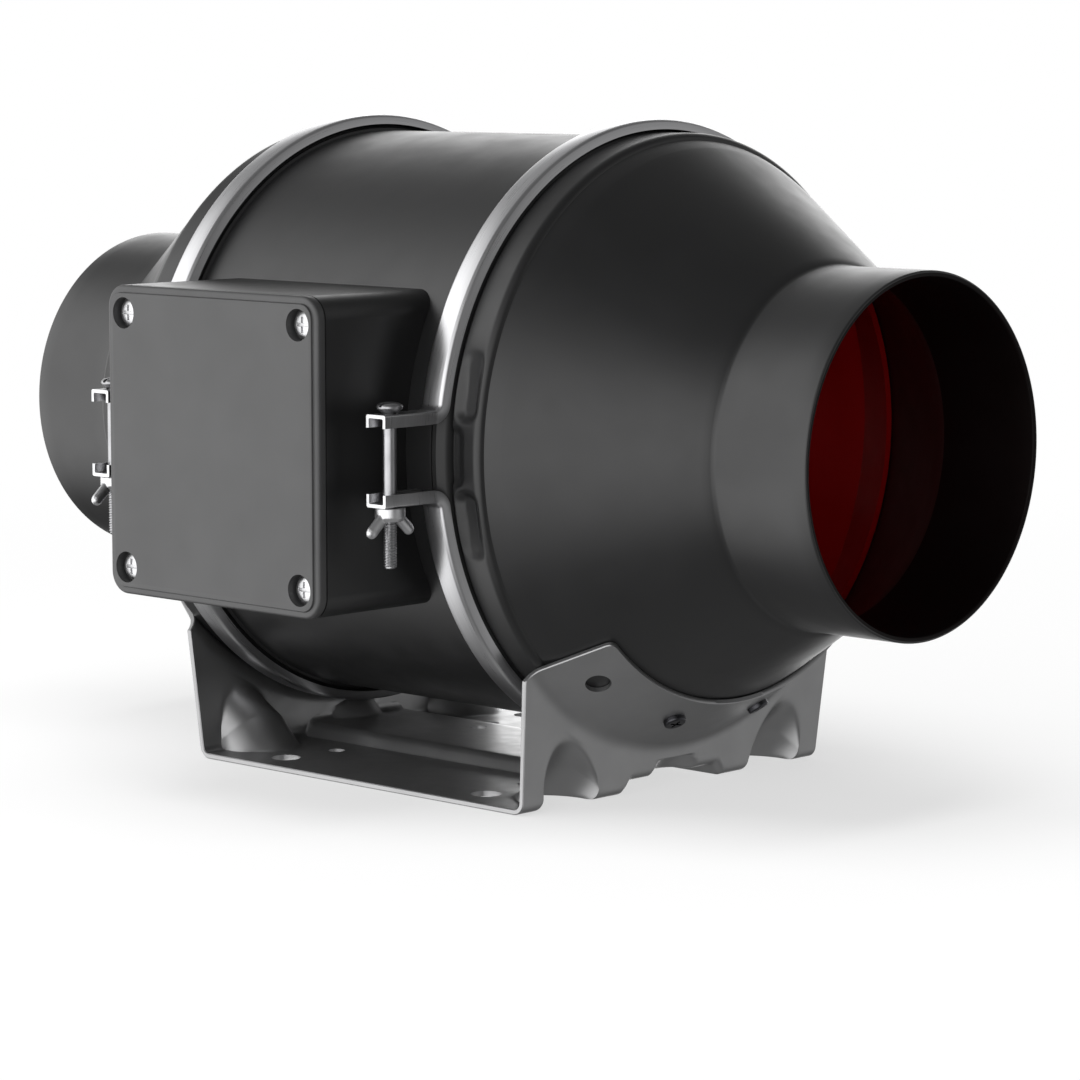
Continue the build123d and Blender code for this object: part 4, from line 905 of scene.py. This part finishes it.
# ---------------------------------------------------------------- studio: floor, sky, lamps, camera
def studio_floor():
    """Pale floor that fades into the white backdrop; it doesn't show in reflections."""
    size = 6.0
    floor = new_object("floor", [(-size, -size, 0), (size, -size, 0), (size, size, 0), (-size, size, 0)], [(0, 1, 2, 3)])
    floor.location.z = -0.2 * MM
    floor.visible_glossy = False
    floor.visible_diffuse = False
    material = bpy.data.materials.new("floor")
    material.use_nodes = True
    tree = material.node_tree
    tree.nodes.clear()
    out = tree.nodes.new("ShaderNodeOutputMaterial")
    mix = tree.nodes.new("ShaderNodeMixShader")
    matt = tree.nodes.new("ShaderNodeBsdfDiffuse")
    glow = tree.nodes.new("ShaderNodeEmission")
    place = tree.nodes.new("ShaderNodeTexCoord")
    length = tree.nodes.new("ShaderNodeVectorMath")
    length.operation = "LENGTH"
    fade = tree.nodes.new("ShaderNodeMapRange")
    fade.interpolation_type = "SMOOTHSTEP"
    fade.inputs["From Min"].default_value = 0.15
    fade.inputs["From Max"].default_value = 0.75
    fade.inputs["To Min"].default_value = 0.62
    matt.inputs["Color"].default_value = (0.80, 0.80, 0.80, 1)
    glow.inputs["Strength"].default_value = 1.0
    tree.links.new(place.outputs["Object"], length.inputs[0])
    tree.links.new(length.outputs["Value"], fade.inputs["Value"])
    tree.links.new(fade.outputs[0], mix.inputs["Fac"])
    tree.links.new(matt.outputs[0], mix.inputs[1])
    tree.links.new(glow.outputs[0], mix.inputs[2])
    tree.links.new(mix.outputs[0], out.inputs["Surface"])
    floor.data.materials.append(material)


def direction(azimuth, elevation):
    a, e = radians(azimuth), radians(elevation)
    return Vector((sin(a) * cos(e), -cos(a) * cos(e), sin(e)))


def studio_sky(lobes, base):
    """World with soft bright patches, seen by the object only; the camera sees plain white."""
    world = bpy.data.worlds.new("studio")
    bpy.context.scene.world = world
    world.use_nodes = True
    tree = world.node_tree
    tree.nodes.clear()

    def math(operation, a, b=None):
        node = tree.nodes.new("ShaderNodeMath")
        node.operation = operation
        for socket, value in zip(node.inputs, (a, b)):
            if value is None:
                continue
            if hasattr(value, "is_output"):
                tree.links.new(value, socket)
            else:
                socket.default_value = value
        return node.outputs[0]

    way = tree.nodes.new("ShaderNodeTexCoord").outputs["Generated"]
    total = None
    for azimuth, elevation, inner, outer, strength in lobes:
        dot = tree.nodes.new("ShaderNodeVectorMath")
        dot.operation = "DOT_PRODUCT"
        tree.links.new(way, dot.inputs[0])
        dot.inputs[1].default_value = direction(azimuth, elevation)
        off = math("ARCCOSINE", dot.outputs["Value"])
        fade = tree.nodes.new("ShaderNodeMapRange")
        fade.interpolation_type = "SMOOTHSTEP"
        fade.inputs["From Min"].default_value = radians(outer)
        fade.inputs["From Max"].default_value = radians(inner)
        fade.inputs["To Max"].default_value = strength
        tree.links.new(off, fade.inputs["Value"])
        total = fade.outputs[0] if total is None else math("ADD", total, fade.outputs[0])
    total = math("ADD", total, base)
    seen = tree.nodes.new("ShaderNodeLightPath").outputs["Is Camera Ray"]
    object_sky = tree.nodes.new("ShaderNodeBackground")
    camera_sky = tree.nodes.new("ShaderNodeBackground")
    object_sky.inputs["Color"].default_value = (1, 1, 1, 1)
    camera_sky.inputs["Color"].default_value = (1, 1, 1, 1)
    tree.links.new(total, object_sky.inputs["Strength"])
    mix = tree.nodes.new("ShaderNodeMixShader")
    tree.links.new(seen, mix.inputs["Fac"])
    tree.links.new(object_sky.outputs[0], mix.inputs[1])
    tree.links.new(camera_sky.outputs[0], mix.inputs[2])
    out = tree.nodes.new("ShaderNodeOutputWorld")
    tree.links.new(mix.outputs[0], out.inputs["Surface"])


def softbox(name, azimuth, elevation, distance, size, power, *receivers):
    """Square area lamp aimed at the fan; it lights the named objects and doesn't show in reflections."""
    lamp = bpy.data.lights.new(name, "AREA")
    lamp.size = size
    lamp.energy = power
    obj = bpy.data.objects.new(name, lamp)
    bpy.context.scene.collection.objects.link(obj)
    aim = Vector((0, 0, axis_z))
    obj.location = aim + direction(azimuth, elevation) * distance
    obj.rotation_mode = "QUATERNION"
    obj.rotation_quaternion = (aim - obj.location).to_track_quat("-Z", "Y")
    obj.visible_glossy = False
    lit = bpy.data.collections.new(f"lit_by_{name}")
    for receiver in receivers:
        lit.objects.link(bpy.data.objects[receiver])
    obj.light_linking.receiver_collection = lit


def camera():
    azimuth, elevation = 43.573, 7.128
    back = direction(azimuth, elevation)
    right = Vector((cos(radians(azimuth)), sin(radians(azimuth)), 0))
    up = back.cross(right)
    data = bpy.data.cameras.new("camera")
    data.lens = 131.24
    data.sensor_width = 36.0
    data.clip_start = 0.01
    data.clip_end = 50.0
    obj = bpy.data.objects.new("camera", data)
    bpy.context.scene.collection.objects.link(obj)
    obj.location = Vector((0, 0, axis_z)) + back * 1.12237 + right * 0.00921 + up * -0.03417
    obj.rotation_mode = "QUATERNION"
    obj.rotation_quaternion = Matrix((right, up, back)).transposed().to_quaternion()
    bpy.context.scene.camera = obj


studio_floor()
# soft patches: front left, front, back left rim, right rear, as azimuth, elevation, inner and outer radius, strength
studio_sky([(-50, 3, 28, 60, 2.1), (21, 1, 14, 52, 2.0), (-143, 4, 12, 40, 2.6), (-112, 46, 10, 48, 0.22),
            (136, -8, 20, 62, 0.42), (-20, -90, 10, 50, 0.18)], 0.15)
softbox("top_lamp", 20, 80, 1.6, 1.2, 25, "floor")
softbox("outlet_lamp", 78, 4, 0.9, 0.3, 2.2, "guide_vane_ring", "impeller", "tail_cone")
camera()
bpy.context.scene.view_settings.view_transform = "Standard"
